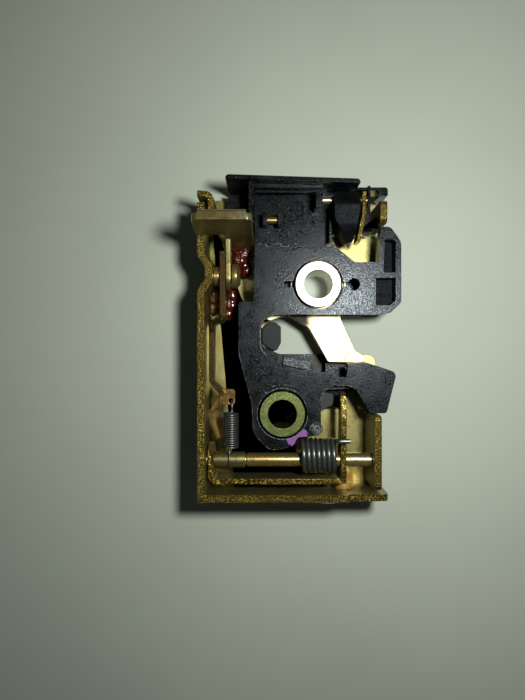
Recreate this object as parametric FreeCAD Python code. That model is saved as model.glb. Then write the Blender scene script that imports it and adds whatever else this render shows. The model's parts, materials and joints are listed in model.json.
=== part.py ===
import FreeCAD, Part

import math
import os

# Mechanical side-door latch: a pressed steel tray carries two moulded housings, a fork and a pawl
# on hollow bushes, and the levers that release and lock them. Millimetres, +Z up. The origin is
# the fork's axis on the underside of the tray; +X points out of the throat, where the striker leaves.

# Stack of levels, from the underside of the tray upward
SHEET = 2.0
FLOOR_DEEP = 4.6
PLATE_GAP = 0.4
PLATE_THICK = 4.0
SPRING_ROOM = 3.0
COVER_THICK = 3.0
TRAY_HIGH = 22.0

# Fits and gaps
RUN = 0.05
SEAT = 0.3
LOOSE = 0.15

# Hollow bushes that the fork and the pawl turn on
BORE_R = 4.1
SPIGOT_R = 5.0
SHANK_R = 5.6
COLLAR_R = 6.45
COLLAR_PROUD = 0.5
COLLAR_RELIEF = 0.65
PAWL_X = -10.2
PAWL_Y = -37.0

# Tray
TRAY_LEFT = -34.0
TRAY_BOTTOM = -61.0
TRAY_RIGHT = 19.15
TRAY_RIGHT_LOW = 17.6
TRAY_TOP = 27.5
TRAY_BEND = 1.6
BOTTOM_WALL_END = 19.4
RIGHT_WALL_LOW = -58.3
RIGHT_WALL_TOP = -37.3
RIGHT_WALL_HIGH = 20.0
UPPER_EAR_LOW = 16.9
UPPER_EAR_TOP = 23.35
EAR_HIGH = 20.0
BEAD_LOW = -2.6
BEAD_TOP = 7.8
BEAD_DEEP = 2.15
BEAD_SLOPE = 3.2
LEFT_WALL_END = 22.2
HOOK_X = -30.2
HOOK_LOW = 18.0
HOOK_TOP = 24.4
HOOK_LEFT = -34.0
DRAIN_LEFT = -24.6
DRAIN_RIGHT = -2.4
DRAIN_LOW = -57.9
DRAIN_TOP = -54.3

# Throat
THROAT_HIGH = -8.7
THROAT_LOW = -20.1
THROAT_END = -14.6
COVER_THROAT_LOW = -26.45
COVER_THROAT_END = -16.4
BUMPER_FACE = -10.3
BUMPER_SEAT = 1.6

# Housing walls
SKIRT = 1.6
RECESS_FLOOR = 1.4
RECESS_LEFT = -26.2
RECESS_RIGHT = 11.3
RECESS_EDGE = 10.9
RECESS_TOP_LEFT = 30.0
RECESS_TOP_RIGHT = 28.75
STEP_LEFT = 9.7
STEP_RIGHT = 20.4
STEP_TOP = 28.3
STEP_HIGH = 14.5
STEP_RETURN = 2.6
STEP_WALL = 0.8
RECESS_WALL = 1.2
TOOTH_WIDE = 2.4
EDGE_NOTCH_X = -1.4
EDGE_NOTCH_R = 3.4
EDGE_NOTCH_LOW = 9.5
POST_X = -0.6
POST_Y = -41.2
POST_R = 1.5
POST_HEAD_R = 1.9
GROOVE_R = 7.5
GROOVE_WIDE = 0.7
GROOVE_DEEP = 0.8
SPINE_LEFT = -22.7
COVER_LEFT = -18.2
ARCH_LEFT = 0.8
ARCH_TOP = -29.0
NOSE_BOTTOM = -36.8
NOSE_RIGHT = 22.4
GUARD_RIGHT = 23.7
GUARD_TOP = 16.4
GUARD_FLOOR = 1.2
GUARD_DEEP = 5.4

# Fork and pawl
FORK_HUB_R = 8.8
FORK_REACH = 26.5
PAWL_HUB_R = 7.2
FORK_SPRING_R = 7.5
WIRE_FINE_R = 0.45
SPRING_TURNS = 2

# Outside lever, its rod and its springs
ROD_Y = -50.5
ROD_Z = 14.0
ROD_R = 2.0
ROD_COLLAR_R = 2.3
ROD_GROOVE_X = -20.9
ROD_GROOVE_WIDE = 0.6
ROD_GROOVE_DEEP = 0.35
YOKE_SHEET = 1.7
YOKE_LEFT = -30.65
YOKE_RIGHT = 7.3
YOKE_WEB = -56.3
YOKE_TIP = -31.1
YOKE_LOW = 8.0
YOKE_HIGH = 17.0
NOTCH_DEEP = 1.0
COIL_R = 4.4
COIL_WIRE_R = 0.7
COIL_PITCH = 1.42
COIL_TURNS = 7
COIL_SHIFT = 1.3
COIL_RISE = 0.3

# Side link and its tension spring
LINK_SHEET = 1.6
LINK_X = -27.25
LINK_OUT_X = -30.45
LINK_TOP = 9.4
LINK_JOG = -10.4
LINK_LOW = -27.6
LINK_BOTTOM_Z = 9.0
LINK_TOP_Z = 18.0
LINK_TRAVEL = 4.0
TAB_THICK = 1.4
PULL_X = -25.0
PULL_Z = ROD_Z
PULL_COIL_R = 2.0
PULL_WIRE_R = 0.3
PULL_LOW = -46.3
PULL_HIGH = -36.2
PULL_EYE_Y = -33.4
PULL_TURNS = 13

# Inside lever on its rivet
RIVET_Y = 2.6
RIVET_Z = 14.0
RIVET_R = 1.9
RIVET_HEAD_R = 3.6
RIVET_HEAD_X = -24.7
RIVET_HEAD_LONG = 2.4
LEVER_SHEET = 1.4
LEVER_GAP = 0.2
TAB_LEFT = -34.2
TAB_RIGHT = -18.5
TAB_HIGH = 36.0
TAB_SHEET = 1.8
TAB_LEAN = 7.0
TAB_Y = 12.0
HEM_THICK = 2.9
HEM_HIGH = 2.4

# Lock lever
LOCK_Y = 24.6
LOCK_Z = 14.0
LOCK_PIN_R = 1.1
LOCK_HUB_R = 2.0
LOCK_LEFT = 4.4
LOCK_RIGHT = 11.7
LOCK_PLATE_X = 13.2
LOCK_PLATE_SHEET = 1.2
LOCK_RIB_X = 14.3
LOCK_PIN_RIGHT = 15.1
LINK_PIN_Y = 19.5
LINK_PIN_Z = 11.0
LINK_PIN_R = 1.0
LINK_PIN_LEFT = -15.8
LINK_PIN_RIGHT = -10.1
PIN_RIB = 1.3

# Bottom wall rivet and the outside lever's rest stop
WALL_RIVET_X = 3.5
WALL_RIVET_Z = 11.0
WALL_RIVET_HEAD_R = 5.2
WALL_RIVET_R = 2.3
WALL_RIVET_PROUD = 2.4
STOP_X = 7.9
STOP_Z = 12.0
STOP_R = 2.55
STOP_HEEL_TOP = -53.9

# Levels and places worked out from the values above
floor_high = SHEET + FLOOR_DEEP
plate_low = floor_high + PLATE_GAP
plate_high = plate_low + PLATE_THICK
cover_low = plate_high + SPRING_ROOM
cover_high = cover_low + COVER_THICK
recess_high = floor_high + RECESS_FLOOR
coil_right = YOKE_RIGHT - YOKE_SHEET / 2 - COIL_WIRE_R - SEAT
coil_left = coil_right - COIL_PITCH * COIL_TURNS


def at(u, v, w, normal):
    """The point with in-plane coordinates u and v at height w along the named normal."""
    if normal == "X":
        return FreeCAD.Vector(w, u, v)
    if normal == "Y":
        return FreeCAD.Vector(u, w, v)
    return FreeCAD.Vector(u, v, w)


def along(distance, normal):
    """A vector of that length along the named normal."""
    return at(0, 0, distance, normal)


def outline(corners, level, normal):
    """A closed wire through corners of (u, v) or (u, v, radius), each rounded by its radius."""
    points = [at(corner[0], corner[1], level, normal) for corner in corners]
    radii = [corner[2] if len(corner) > 2 else 0.0 for corner in corners]
    entries = []
    exits = []
    arcs = []
    for index, point in enumerate(points):
        if radii[index] == 0:
            entries.append(point)
            exits.append(point)
            arcs.append(None)
            continue
        back = (points[index - 1] - point).normalize()
        ahead = (points[(index + 1) % len(points)] - point).normalize()
        half_turn = back.getAngle(ahead) / 2
        setback = radii[index] / math.tan(half_turn)
        entry = point + back * setback
        leave = point + ahead * setback
        middle = point + (back + ahead).normalize() * (radii[index] / math.sin(half_turn) - radii[index])
        entries.append(entry)
        exits.append(leave)
        arcs.append(Part.Arc(entry, middle, leave).toShape())
    edges = []
    for index in range(len(points)):
        if arcs[index]:
            edges.append(arcs[index])
        following = (index + 1) % len(points)
        if exits[index].distanceToPoint(entries[following]) > 1e-6:
            edges.append(Part.makeLine(exits[index], entries[following]))
    return Part.Wire(edges)


def slab(corners, low, high, normal="Z"):
    """A flat plate with that outline, from low to high along its normal."""
    return Part.Face(outline(corners, low, normal)).extrude(along(high - low, normal))


def strip(path, thickness):
    """The outline of a sheet seen on edge, from its centre line of (u, v, bend radius)."""
    half = thickness / 2
    headings = []
    for (u, v, _), (next_u, next_v, _) in zip(path, path[1:]):
        length = math.hypot(next_u - u, next_v - v)
        headings.append(((next_u - u) / length, (next_v - v) / length))
    left = []
    right = []
    for index, (u, v, bend) in enumerate(path):
        before = headings[max(index - 1, 0)]
        after = headings[min(index, len(headings) - 1)]
        straight = 1 + before[0] * after[0] + before[1] * after[1]
        side_u = -(before[1] + after[1]) / straight * half
        side_v = (before[0] + after[0]) / straight * half
        turn = before[0] * after[1] - before[1] * after[0]
        if abs(turn) < 1e-9:
            inner = outer = 0.0
        else:
            inner = bend - half
            outer = bend + half
        left.append((u + side_u, v + side_v, inner if turn > 0 else outer))
        right.append((u - side_u, v - side_v, outer if turn > 0 else inner))
    return left + right[::-1]


def block(x_low, x_high, y_low, y_high, z_low, z_high):
    """A rectangular block between those limits."""
    corner = FreeCAD.Vector(x_low, y_low, z_low)
    return Part.makeBox(x_high - x_low, y_high - y_low, z_high - z_low, corner)


def rod(radius, u, v, low, high, normal="Z"):
    """A round bar along the named normal, through the in-plane point u, v."""
    return Part.makeCylinder(radius, high - low, at(u, v, low, normal), along(1, normal))


def turned(profile, u, v, normal="Z"):
    """A turned piece: a profile of (radius, height) spun about the axis through u, v."""
    corners = [(u + radius, height) for radius, height in profile]
    face = Part.Face(outline(corners, v, "Y"))
    solid = face.revolve(FreeCAD.Vector(u, v, 0), FreeCAD.Vector(0, 0, 1), 360)
    if normal == "Z":
        return solid
    solid.translate(FreeCAD.Vector(-u, -v, 0))
    if normal == "X":
        solid.rotate(FreeCAD.Vector(0, 0, 0), FreeCAD.Vector(0, 1, 0), 90)
    else:
        solid.rotate(FreeCAD.Vector(0, 0, 0), FreeCAD.Vector(1, 0, 0), -90)
    solid.translate(at(u, v, 0, normal))
    return solid


def joined(first, *others):
    """The pieces as one solid."""
    return first.fuse(list(others)).removeSplitter()


def coil(radius, wire_radius, pitch, turns, sides, steps):
    """A wire wound about Z from height zero, starting on the +X side: a loft through turned sections."""
    sections = []
    for index in range(round(turns * steps) + 1):
        turn = 2 * math.pi * index / steps
        outward = FreeCAD.Vector(math.cos(turn), math.sin(turn), 0)
        heading = FreeCAD.Vector(-math.sin(turn), math.cos(turn), pitch / (2 * math.pi * radius)).normalize()
        upward = outward.cross(heading)
        centre = outward * radius + FreeCAD.Vector(0, 0, pitch * index / steps)
        corners = []
        for side in range(sides):
            angle = 2 * math.pi * (side + 0.5) / sides
            spoke = outward * math.cos(angle) + upward * math.sin(angle)
            corners.append(centre + spoke * wire_radius)
        sections.append(Part.makePolygon(corners + corners[:1]))
    return Part.makeLoft(sections, True, True)


def wire_run(points, wire_radius):
    """A six-sided wire along the points, with mitred elbows."""
    headings = [(end - start).normalize() for start, end in zip(points, points[1:])]
    across = headings[0].cross(headings[-1])
    if across.Length < 1e-6:
        across = headings[0].cross(FreeCAD.Vector(0.3, 0.5, 0.8))
    across.normalize()
    sections = []
    for index, point in enumerate(points):
        before = headings[max(index - 1, 0)]
        after = headings[min(index, len(headings) - 1)]
        mitre = (before + after).normalize()
        inward = across.cross(mitre).normalize()
        stretch = wire_radius / mitre.dot(after)
        corners = []
        for side in range(6):
            angle = math.radians(60 * side)
            corners.append(point + inward * (stretch * math.cos(angle)) + across * (wire_radius * math.sin(angle)))
        sections.append(Part.makePolygon(corners + corners[:1]))
    return [Part.makeLoft(sections, True, True)]


def pawl_lobe():
    """The part of the plan round the pawl that both housings share, from the left to the arch."""
    return [
        (PAWL_X - 8.8, -34.0, 6.0),
        (PAWL_X - 8.4, -42.5, 5.0),
        (PAWL_X - 3.6, -47.7, 4.0),
        (PAWL_X + 3.0, -46.2, 2.0),
        (PAWL_X + 4.4, -43.6, 1.0),
        (ARCH_LEFT, -43.1, 1.2),
    ]


def cover_outline():
    """The cover's plan, anticlockwise from its upper left corner."""
    return [
        (COVER_LEFT, RECESS_EDGE),
        (COVER_LEFT, -5.0),
        (SPINE_LEFT, -5.0, 1.0),
        (SPINE_LEFT, -20.0, 6.0),
        *pawl_lobe(),
        (ARCH_LEFT, ARCH_TOP, 4.6),
        (10.4, ARCH_TOP, 4.6),
        (14.9, NOSE_BOTTOM, 0.8),
        (19.5, NOSE_BOTTOM, 1.0),
        (NOSE_RIGHT, -25.2, 1.6),
        (13.6, -22.2, 3.0),
        (8.35, -22.6),
        (8.35, COVER_THROAT_LOW),
        (-6.5, COVER_THROAT_LOW, 2.0),
        (COVER_THROAT_END, -18.7, 4.0),
        (COVER_THROAT_END, -10.6, 3.4),
        (-12.4, THROAT_HIGH + 0.1, 2.0),
        (16.0, THROAT_HIGH + 0.1),
        (20.6, -8.2, 2.0),
        (GUARD_RIGHT, -5.2, 2.0),
        (GUARD_RIGHT, 12.2, 3.0),
        (20.6, GUARD_TOP, 2.0),
        (17.9, GUARD_TOP),
        (17.3, 6.3, 1.0),
        (10.5, 6.3, 1.5),
        (4.8, RECESS_EDGE),
    ]


def base_frame():
    """The pressed tray: floor with the throat, beaded left wall, bottom wall, right wall and ear."""
    floor = slab(
        [
            (TRAY_LEFT, TRAY_BOTTOM),
            (TRAY_RIGHT_LOW, TRAY_BOTTOM),
            (TRAY_RIGHT_LOW, -34.5, 1.0),
            (TRAY_RIGHT, -33.0, 1.0),
            (TRAY_RIGHT, THROAT_LOW, 2.5),
            (THROAT_END, THROAT_LOW, 3.0),
            (THROAT_END, THROAT_HIGH, 3.0),
            (TRAY_RIGHT, THROAT_HIGH, 2.5),
            (TRAY_RIGHT, TRAY_TOP, 2.0),
            (TRAY_LEFT + SHEET, TRAY_TOP, 1.0),
            (TRAY_LEFT + SHEET, LEFT_WALL_END),
            (TRAY_LEFT, LEFT_WALL_END),
        ],
        0,
        SHEET,
    )
    wall_x = TRAY_LEFT + SHEET / 2
    left_wall = slab(
        strip(
            [
                (wall_x, TRAY_BOTTOM + SHEET / 2, 0),
                (wall_x, BEAD_LOW, 2.0),
                (wall_x + BEAD_DEEP, BEAD_LOW + BEAD_SLOPE, 2.0),
                (wall_x + BEAD_DEEP, BEAD_TOP - BEAD_SLOPE, 2.0),
                (wall_x, BEAD_TOP, 2.0),
                (wall_x, LEFT_WALL_END, 0),
            ],
            SHEET,
        ),
        0,
        TRAY_HIGH,
    )
    hook = slab(
        strip([(HOOK_X, HOOK_LOW, 0), (HOOK_X, HOOK_TOP, 1.7), (HOOK_LEFT, HOOK_TOP + 0.3, 0)], SHEET - 0.3),
        0,
        TRAY_HIGH,
    )
    bead_hollow = slab(
        [
            (TRAY_LEFT - 1, BEAD_LOW - 0.4),
            (TRAY_LEFT, BEAD_LOW - 0.4, 1.0),
            (TRAY_LEFT + BEAD_DEEP, BEAD_LOW + BEAD_SLOPE, 1.0),
            (TRAY_LEFT + BEAD_DEEP, BEAD_TOP - BEAD_SLOPE, 1.0),
            (TRAY_LEFT, BEAD_TOP + 0.4, 1.0),
            (TRAY_LEFT - 1, BEAD_TOP + 0.4),
        ],
        -1,
        SHEET + 1,
    )
    bottom_wall = slab(
        [
            (TRAY_LEFT, 0),
            (BOTTOM_WALL_END, 0, TRAY_BEND),
            (BOTTOM_WALL_END, TRAY_HIGH - 1.5, 1.5),
            (8.5, TRAY_HIGH - 1.5, 0.5),
            (8.0, TRAY_HIGH, 0.5),
            (TRAY_LEFT, TRAY_HIGH),
        ],
        TRAY_BOTTOM,
        TRAY_BOTTOM + SHEET,
        "Y",
    )
    right_wall = slab(
        [
            (RIGHT_WALL_LOW, 0),
            (RIGHT_WALL_TOP, 0),
            (RIGHT_WALL_TOP, RIGHT_WALL_HIGH, 1.5),
            (RIGHT_WALL_LOW, RIGHT_WALL_HIGH, 1.5),
        ],
        TRAY_RIGHT_LOW - SHEET,
        TRAY_RIGHT_LOW,
        "X",
    )
    ear = slab(
        [
            (UPPER_EAR_LOW, 0),
            (UPPER_EAR_TOP, 0),
            (UPPER_EAR_TOP, EAR_HIGH, 1.5),
            (UPPER_EAR_LOW, EAR_HIGH, 1.5),
        ],
        TRAY_RIGHT - SHEET,
        TRAY_RIGHT,
        "X",
    )
    tray = joined(floor.cut(bead_hollow), left_wall, hook, bottom_wall, right_wall, ear)
    wall_inside = TRAY_BOTTOM + SHEET
    holes = [
        rod(SPIGOT_R + RUN, 0, 0, -1, SHEET + 1),
        rod(SPIGOT_R + RUN, PAWL_X, PAWL_Y, -1, SHEET + 1),
        rod(ROD_R + RUN, ROD_Y, ROD_Z, TRAY_LEFT - 1, TRAY_LEFT + SHEET + 1, "X"),
        rod(ROD_R + RUN, ROD_Y, ROD_Z, TRAY_RIGHT_LOW - SHEET - 1, TRAY_RIGHT_LOW + 1, "X"),
        rod(RIVET_R + RUN, RIVET_Y, RIVET_Z, TRAY_LEFT, TRAY_LEFT + SHEET + BEAD_DEEP + 1, "X"),
        rod(WALL_RIVET_R + RUN, WALL_RIVET_X, WALL_RIVET_Z, TRAY_BOTTOM - 1, wall_inside + 1, "Y"),
        rod(STOP_R / 2 + RUN, STOP_X, STOP_Z, TRAY_BOTTOM - 1, wall_inside + 1, "Y"),
        block(DRAIN_LEFT, DRAIN_RIGHT, DRAIN_LOW, DRAIN_TOP, -1, SHEET + 1),
    ]
    return tray.cut(holes)


def bush(u, v):
    """A hollow stepped bush: spigot in the tray, shank in the lever plate, collar in the cover."""
    top = cover_high + COLLAR_PROUD
    shoulder = plate_high + SEAT
    return turned(
        [
            (BORE_R, 0),
            (SPIGOT_R, 0),
            (SPIGOT_R, SHEET),
            (SHANK_R, SHEET),
            (SHANK_R, shoulder),
            (COLLAR_R, shoulder),
            (COLLAR_R, top),
            (BORE_R, top),
        ],
        u,
        v,
    )


def lower_housing():
    """The moulded floor between the tray and the moving plates, with its heat-staked post."""
    seat = THROAT_END - BUMPER_SEAT
    plan = slab(
        [
            (COVER_LEFT, RECESS_EDGE - SKIRT),
            (COVER_LEFT, -5.0),
            (SPINE_LEFT + 1.2, -5.0),
            (SPINE_LEFT + 1.2, -20.0, 6.0),
            *pawl_lobe(),
            (ARCH_LEFT, -36.0),
            (9.2, -36.0),
            (9.2, -31.0),
            (16.5, -31.0),
            (16.5, -28.6),
            (9.1, -28.6),
            (9.1, THROAT_LOW - 2.6),
            (3.0, THROAT_LOW - 2.6),
            (3.0, -25.4),
            (-0.6, -25.4),
            (-0.6, THROAT_LOW + 0.1),
            (-10.6, THROAT_LOW + 0.1, 2.0),
            (seat, THROAT_LOW + 2.3, 2.0),
            (seat, THROAT_HIGH - 2.2, 2.0),
            (-12.6, THROAT_HIGH + 0.1),
            (14.5, THROAT_HIGH + 0.1),
            (14.5, 4.8),
            (10.0, 4.8),
            (3.4, RECESS_EDGE - SKIRT),
        ],
        SHEET,
        floor_high,
    )
    band = slab(
        strip([(-9.6, THROAT_LOW - 1.9, 0), (-1.4, THROAT_LOW - 3.4, 0)], 2.6),
        floor_high,
        floor_high + 1.4,
    )
    post = rod(POST_R, POST_X, POST_Y, floor_high - 1, cover_high)
    dome = rod(POST_HEAD_R, POST_X, POST_Y, cover_high, cover_high + 0.5)
    shell = joined(plan, band, post, dome)
    return shell.cut(
        [
            rod(SHANK_R + SEAT, 0, 0, SHEET - 1, floor_high + 1),
            rod(SHANK_R + SEAT, PAWL_X, PAWL_Y, SHEET - 1, floor_high + 1),
        ]
    )


def striker_bumper():
    """The elastomer stop at the blind end of the throat, keyed round the floor moulding's edge."""
    back = THROAT_END - BUMPER_SEAT + LOOSE
    depth = BUMPER_FACE - back
    return slab(
        [
            (back, THROAT_HIGH - 3.4, 1.2),
            (back, THROAT_LOW + 3.5, 1.2),
            (back + 0.5 * depth, THROAT_LOW + 1.3, 0.5),
            (BUMPER_FACE - 0.2 * depth, THROAT_LOW + 1.3, 0.5),
            (BUMPER_FACE, THROAT_LOW + 3.5, 0.6),
            (BUMPER_FACE, THROAT_HIGH - 3.1, 0.6),
            (BUMPER_FACE - 0.3 * depth, THROAT_HIGH - 1.6, 0.5),
            (back + 0.4 * depth, THROAT_HIGH - 1.6, 0.5),
        ],
        SHEET,
        floor_high,
    )


def fork():
    """The claw plate: hub, hook arm across the throat, and the arm that the striker pushes."""
    hub = rod(FORK_HUB_R, 0, 0, plate_low, plate_high)
    hook_arm = slab(
        [
            (8.0, 3.0),
            (8.6, -3.0, 3.0),
            (7.16, -9.4, 1.0),
            (11.56, -18.9, 1.2),
            (14.6, -20.6, 0.7),
            (13.9, -22.6, 0.8),
            (3.45, -22.3, 0.8),
            (-2.3, -12.1, 4.0),
            (-8.6, -8.2, 1.5),
            (-4.0, 3.0),
        ],
        plate_low,
        plate_high,
    )
    inner_arm = slab(
        [
            (-5.0, 6.5, 1.0),
            (-13.0, 4.0, 4.0),
            (-17.8, -3.8, 1.4),
            (-16.0, -9.0, 0.9),
            (-13.6, -10.2, 1.0),
            (-8.2, -8.1, 2.0),
            (-3.0, -6.0),
        ],
        plate_low,
        plate_high,
    )
    plate = joined(hub, hook_arm, inner_arm)
    return plate.cut(rod(SHANK_R + RUN, 0, 0, plate_low - 1, plate_high + 1))


def pawl():
    """The pawl plate: hub, the long arm to the fork, and the tail under the outside lever."""
    hub = rod(PAWL_HUB_R, PAWL_X, PAWL_Y, plate_low, plate_high)
    arm = slab(
        [
            (PAWL_X - 7.6, PAWL_Y - 1.0),
            (PAWL_X + 4.0, PAWL_Y + 2.0),
            (PAWL_X - 1.0, PAWL_Y + 8.6, 3.0),
            (-16.9, -20.5, 4.0),
            (-17.5, -7.4, 0.8),
            (-21.6, -7.0, 1.2),
            (-22.2, -20.0, 6.0),
        ],
        plate_low,
        plate_high,
    )
    tail = slab(
        [
            (PAWL_X, PAWL_Y - 6.6),
            (ARCH_LEFT - 3.5, PAWL_Y - 1.6, 2.0),
            (YOKE_RIGHT - 2.4, -35.0, 1.0),
            (YOKE_RIGHT - 2.0, -31.6, 1.4),
            (-2.5, -30.4, 3.0),
            (PAWL_X + 2.0, PAWL_Y + 7.6),
        ],
        plate_low,
        plate_high,
    )
    plate = joined(hub, arm, tail)
    return plate.cut(rod(SHANK_R + RUN, PAWL_X, PAWL_Y, plate_low - 1, plate_high + 1))


def plate_spring(u, v, leg_angle):
    """A wire spring wound round a bush's collar, between a moving plate and the cover."""
    pitch = (SPRING_ROOM - 2 * WIRE_FINE_R - 2 * LOOSE) / SPRING_TURNS
    winding = coil(FORK_SPRING_R, WIRE_FINE_R, pitch, SPRING_TURNS, 4, 12)
    rise = FreeCAD.Vector(0, 2 * math.pi * FORK_SPRING_R, pitch).normalize()
    foot = FreeCAD.Vector(FORK_SPRING_R, 0, 0)
    head = FreeCAD.Vector(FORK_SPRING_R, 0, pitch * SPRING_TURNS)
    low_leg = wire_run([foot, foot - rise * 3.0], WIRE_FINE_R)
    high_leg = wire_run([head, head + rise * 3.0], WIRE_FINE_R)
    spring = joined(winding, *low_leg, *high_leg)
    spring.rotate(FreeCAD.Vector(0, 0, 0), FreeCAD.Vector(0, 0, 1), leg_angle)
    spring.translate(FreeCAD.Vector(u, v, plate_high + WIRE_FINE_R + LOOSE + 0.1))
    return spring


def recess_housing():
    """The sunken recess moulding: floor, tall slanted top wall, lower step and pin ribs."""
    inner_top = RECESS_TOP_RIGHT - RECESS_WALL
    bay = RECESS_EDGE - SKIRT
    floor = slab(
        [
            (RECESS_LEFT, 18.6),
            (COVER_LEFT, 18.6),
            (COVER_LEFT, bay),
            (4.4, bay),
            (4.4, 15.4, 0.5),
            (16.4, 15.4, 0.5),
            (16.4, STEP_TOP - STEP_WALL / 2),
            (RECESS_LEFT, STEP_TOP - STEP_WALL / 2),
        ],
        floor_high,
        recess_high,
    )
    top_wall = slab(
        [
            (RECESS_LEFT, RECESS_TOP_LEFT - RECESS_WALL),
            (RECESS_RIGHT, inner_top),
            (RECESS_RIGHT, RECESS_TOP_RIGHT, 1.0),
            (RECESS_LEFT, RECESS_TOP_LEFT, 1.0),
        ],
        SHEET,
        TRAY_HIGH,
    )
    step = slab(
        [
            (STEP_LEFT, STEP_TOP),
            (STEP_LEFT, STEP_TOP - STEP_WALL),
            (STEP_RIGHT - STEP_RETURN, STEP_TOP - STEP_WALL),
            (STEP_RIGHT - STEP_RETURN, STEP_TOP - STEP_RETURN),
            (STEP_RIGHT, STEP_TOP - STEP_RETURN, 0.5),
            (STEP_RIGHT, STEP_TOP, 0.8),
        ],
        floor_high,
        STEP_HIGH,
    )
    rail_back = RECESS_TOP_LEFT - RECESS_WALL
    rail_face = rail_back - 1.5
    left_rib = LINK_PIN_Y - 1.9
    right_rib = LINK_PIN_Y + 1.9
    lock_rib = 2 * LOCK_PIN_R
    tub = joined(
        floor,
        top_wall,
        step,
        block(COVER_LEFT - SKIRT, COVER_LEFT, 18.6, rail_back, floor_high, TRAY_HIGH - 3),
        block(COVER_LEFT, 3.2, bay, RECESS_EDGE, floor_high, cover_low),
        block(3.6, 4.4, bay, 20.0, recess_high, cover_low - 1),
        block(COVER_LEFT, COVER_LEFT + SKIRT, 0.5, RECESS_EDGE, floor_high, cover_low),
        block(COVER_LEFT, 15.0, 24.9, 26.4, SHEET, floor_high),
        block(COVER_LEFT, 1.4, rail_face, rail_back - 0.2, 12.0, 13.0),
        block(COVER_LEFT, 1.4, rail_face, rail_back - 0.2, 17.0, 18.0),
        block(LINK_PIN_LEFT, LINK_PIN_LEFT + PIN_RIB, left_rib, right_rib, recess_high, 13.2),
        block(LINK_PIN_RIGHT - PIN_RIB, LINK_PIN_RIGHT, left_rib, right_rib, recess_high, 13.2),
        block(-0.6, 1.4, LOCK_Y - lock_rib, LOCK_Y + lock_rib, recess_high, LOCK_Z + 2.6),
        block(LOCK_RIB_X, LOCK_PIN_RIGHT, LOCK_Y - lock_rib, STEP_TOP, recess_high, LOCK_Z + 2.2),
        rod(1.1, -8.65, 20.2, floor_high, recess_high + 0.6),
        rod(1.1, 0.0, 20.2, floor_high, recess_high + 0.6),
    )
    return tub.cut(
        [
            rod(LINK_PIN_R + RUN, LINK_PIN_Y, LINK_PIN_Z, LINK_PIN_LEFT - 1, LINK_PIN_RIGHT + 1, "X"),
            rod(LOCK_PIN_R + RUN, LOCK_Y, LOCK_Z, -1.5, 2.0, "X"),
            rod(LOCK_PIN_R + RUN, LOCK_Y, LOCK_Z, LOCK_RIB_X - 0.5, LOCK_PIN_RIGHT + 1, "X"),
        ]
    )


def upper_housing():
    """The moulded cover: slab over the plates, snap teeth, guard pockets and nose."""
    cover = slab(cover_outline(), cover_low, cover_high)
    nose = slab(
        [
            (10.6, -29.9, 0.5),
            (14.9, NOSE_BOTTOM, 0.8),
            (19.5, NOSE_BOTTOM, 1.0),
            (NOSE_RIGHT, -25.2, 1.6),
            (13.6, -22.2, 3.0),
            (9.6, -22.6, 0.3),
        ],
        floor_high + SEAT,
        cover_low,
    )
    fork_sweep = rod(FORK_REACH + 0.5, 0, 0, 0, plate_high + 0.6)
    guard_low = cover_high - GUARD_DEEP
    guard = slab(
        [
            (15.2, THROAT_HIGH + 0.1, 1.0),
            (20.6, -8.2, 2.0),
            (GUARD_RIGHT, -5.2, 2.0),
            (GUARD_RIGHT, 12.2, 3.0),
            (20.6, GUARD_TOP, 2.0),
            (17.9, GUARD_TOP, 0.5),
            (17.3, 6.3, 1.0),
            (15.2, 6.3),
        ],
        guard_low,
        cover_low,
    )
    snap_teeth = []
    for tooth_x in (-17.2, -12.9, -8.4, 2.2):
        tooth_right = tooth_x + TOOTH_WIDE
        snap_teeth.append(block(tooth_x, tooth_right, RECESS_EDGE, RECESS_EDGE + 0.7, cover_low, cover_high))
    pawl_skirt = slab(
        strip(
            [
                (-17.6, -43.4, 0),
                (-13.8, -46.6, 3.0),
                (-7.9, -45.4, 2.0),
                (-6.2, -42.8, 1.0),
                (-2.6, -42.2, 0),
            ],
            SKIRT,
        ),
        floor_high,
        cover_low,
    )
    spring_room = rod(FORK_SPRING_R + 0.9, PAWL_X, PAWL_Y, 0, cover_low)
    fork_skirt = slab(strip([(5.4, 8.8, 0), (10.3, 5.5, 1.5), (14.6, 5.5, 0)], SKIRT), floor_high, cover_low)
    body = joined(
        cover,
        nose.cut(fork_sweep),
        guard,
        pawl_skirt.cut(spring_room),
        fork_skirt,
        *snap_teeth,
    )
    pocket_low = guard_low + GUARD_FLOOR
    above = cover_high + 1
    below = cover_low - 1
    groove = rod(GROOVE_R + GROOVE_WIDE, PAWL_X, PAWL_Y, cover_high - GROOVE_DEEP, above).cut(
        rod(GROOVE_R, PAWL_X, PAWL_Y, below, above + 1)
    )
    groove_sector = slab(
        [(PAWL_X, PAWL_Y), (PAWL_X + 7.5, PAWL_Y + 10), (PAWL_X - 7.5, PAWL_Y + 10)], below, above + 1
    )
    return body.cut(
        [
            slab([(18.8, 3.4), (22.1, 3.4), (22.1, 12.8, 1.0), (18.8, 12.8)], pocket_low, above),
            slab([(16.5, -6.0), (20.4, -6.0), (22.1, -4.6), (22.1, 1.8), (16.5, 1.8)], pocket_low, above),
            rod(COLLAR_R + COLLAR_RELIEF, 0, 0, 0, above),
            rod(COLLAR_R + COLLAR_RELIEF, PAWL_X, PAWL_Y, 0, above),
            block(-9.8, -6.0, -0.9, 0.9, below, above),
            block(6.0, 10.2, -0.6, 0.6, below, above),
            rod(1.8, 10.2, 0, below, above),
            rod(POST_R + 0.1, POST_X, POST_Y, below, above),
            rod(EDGE_NOTCH_R, EDGE_NOTCH_X, EDGE_NOTCH_LOW + EDGE_NOTCH_R, cover_low, above),
            groove.common(groove_sector),
        ]
    )


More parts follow.
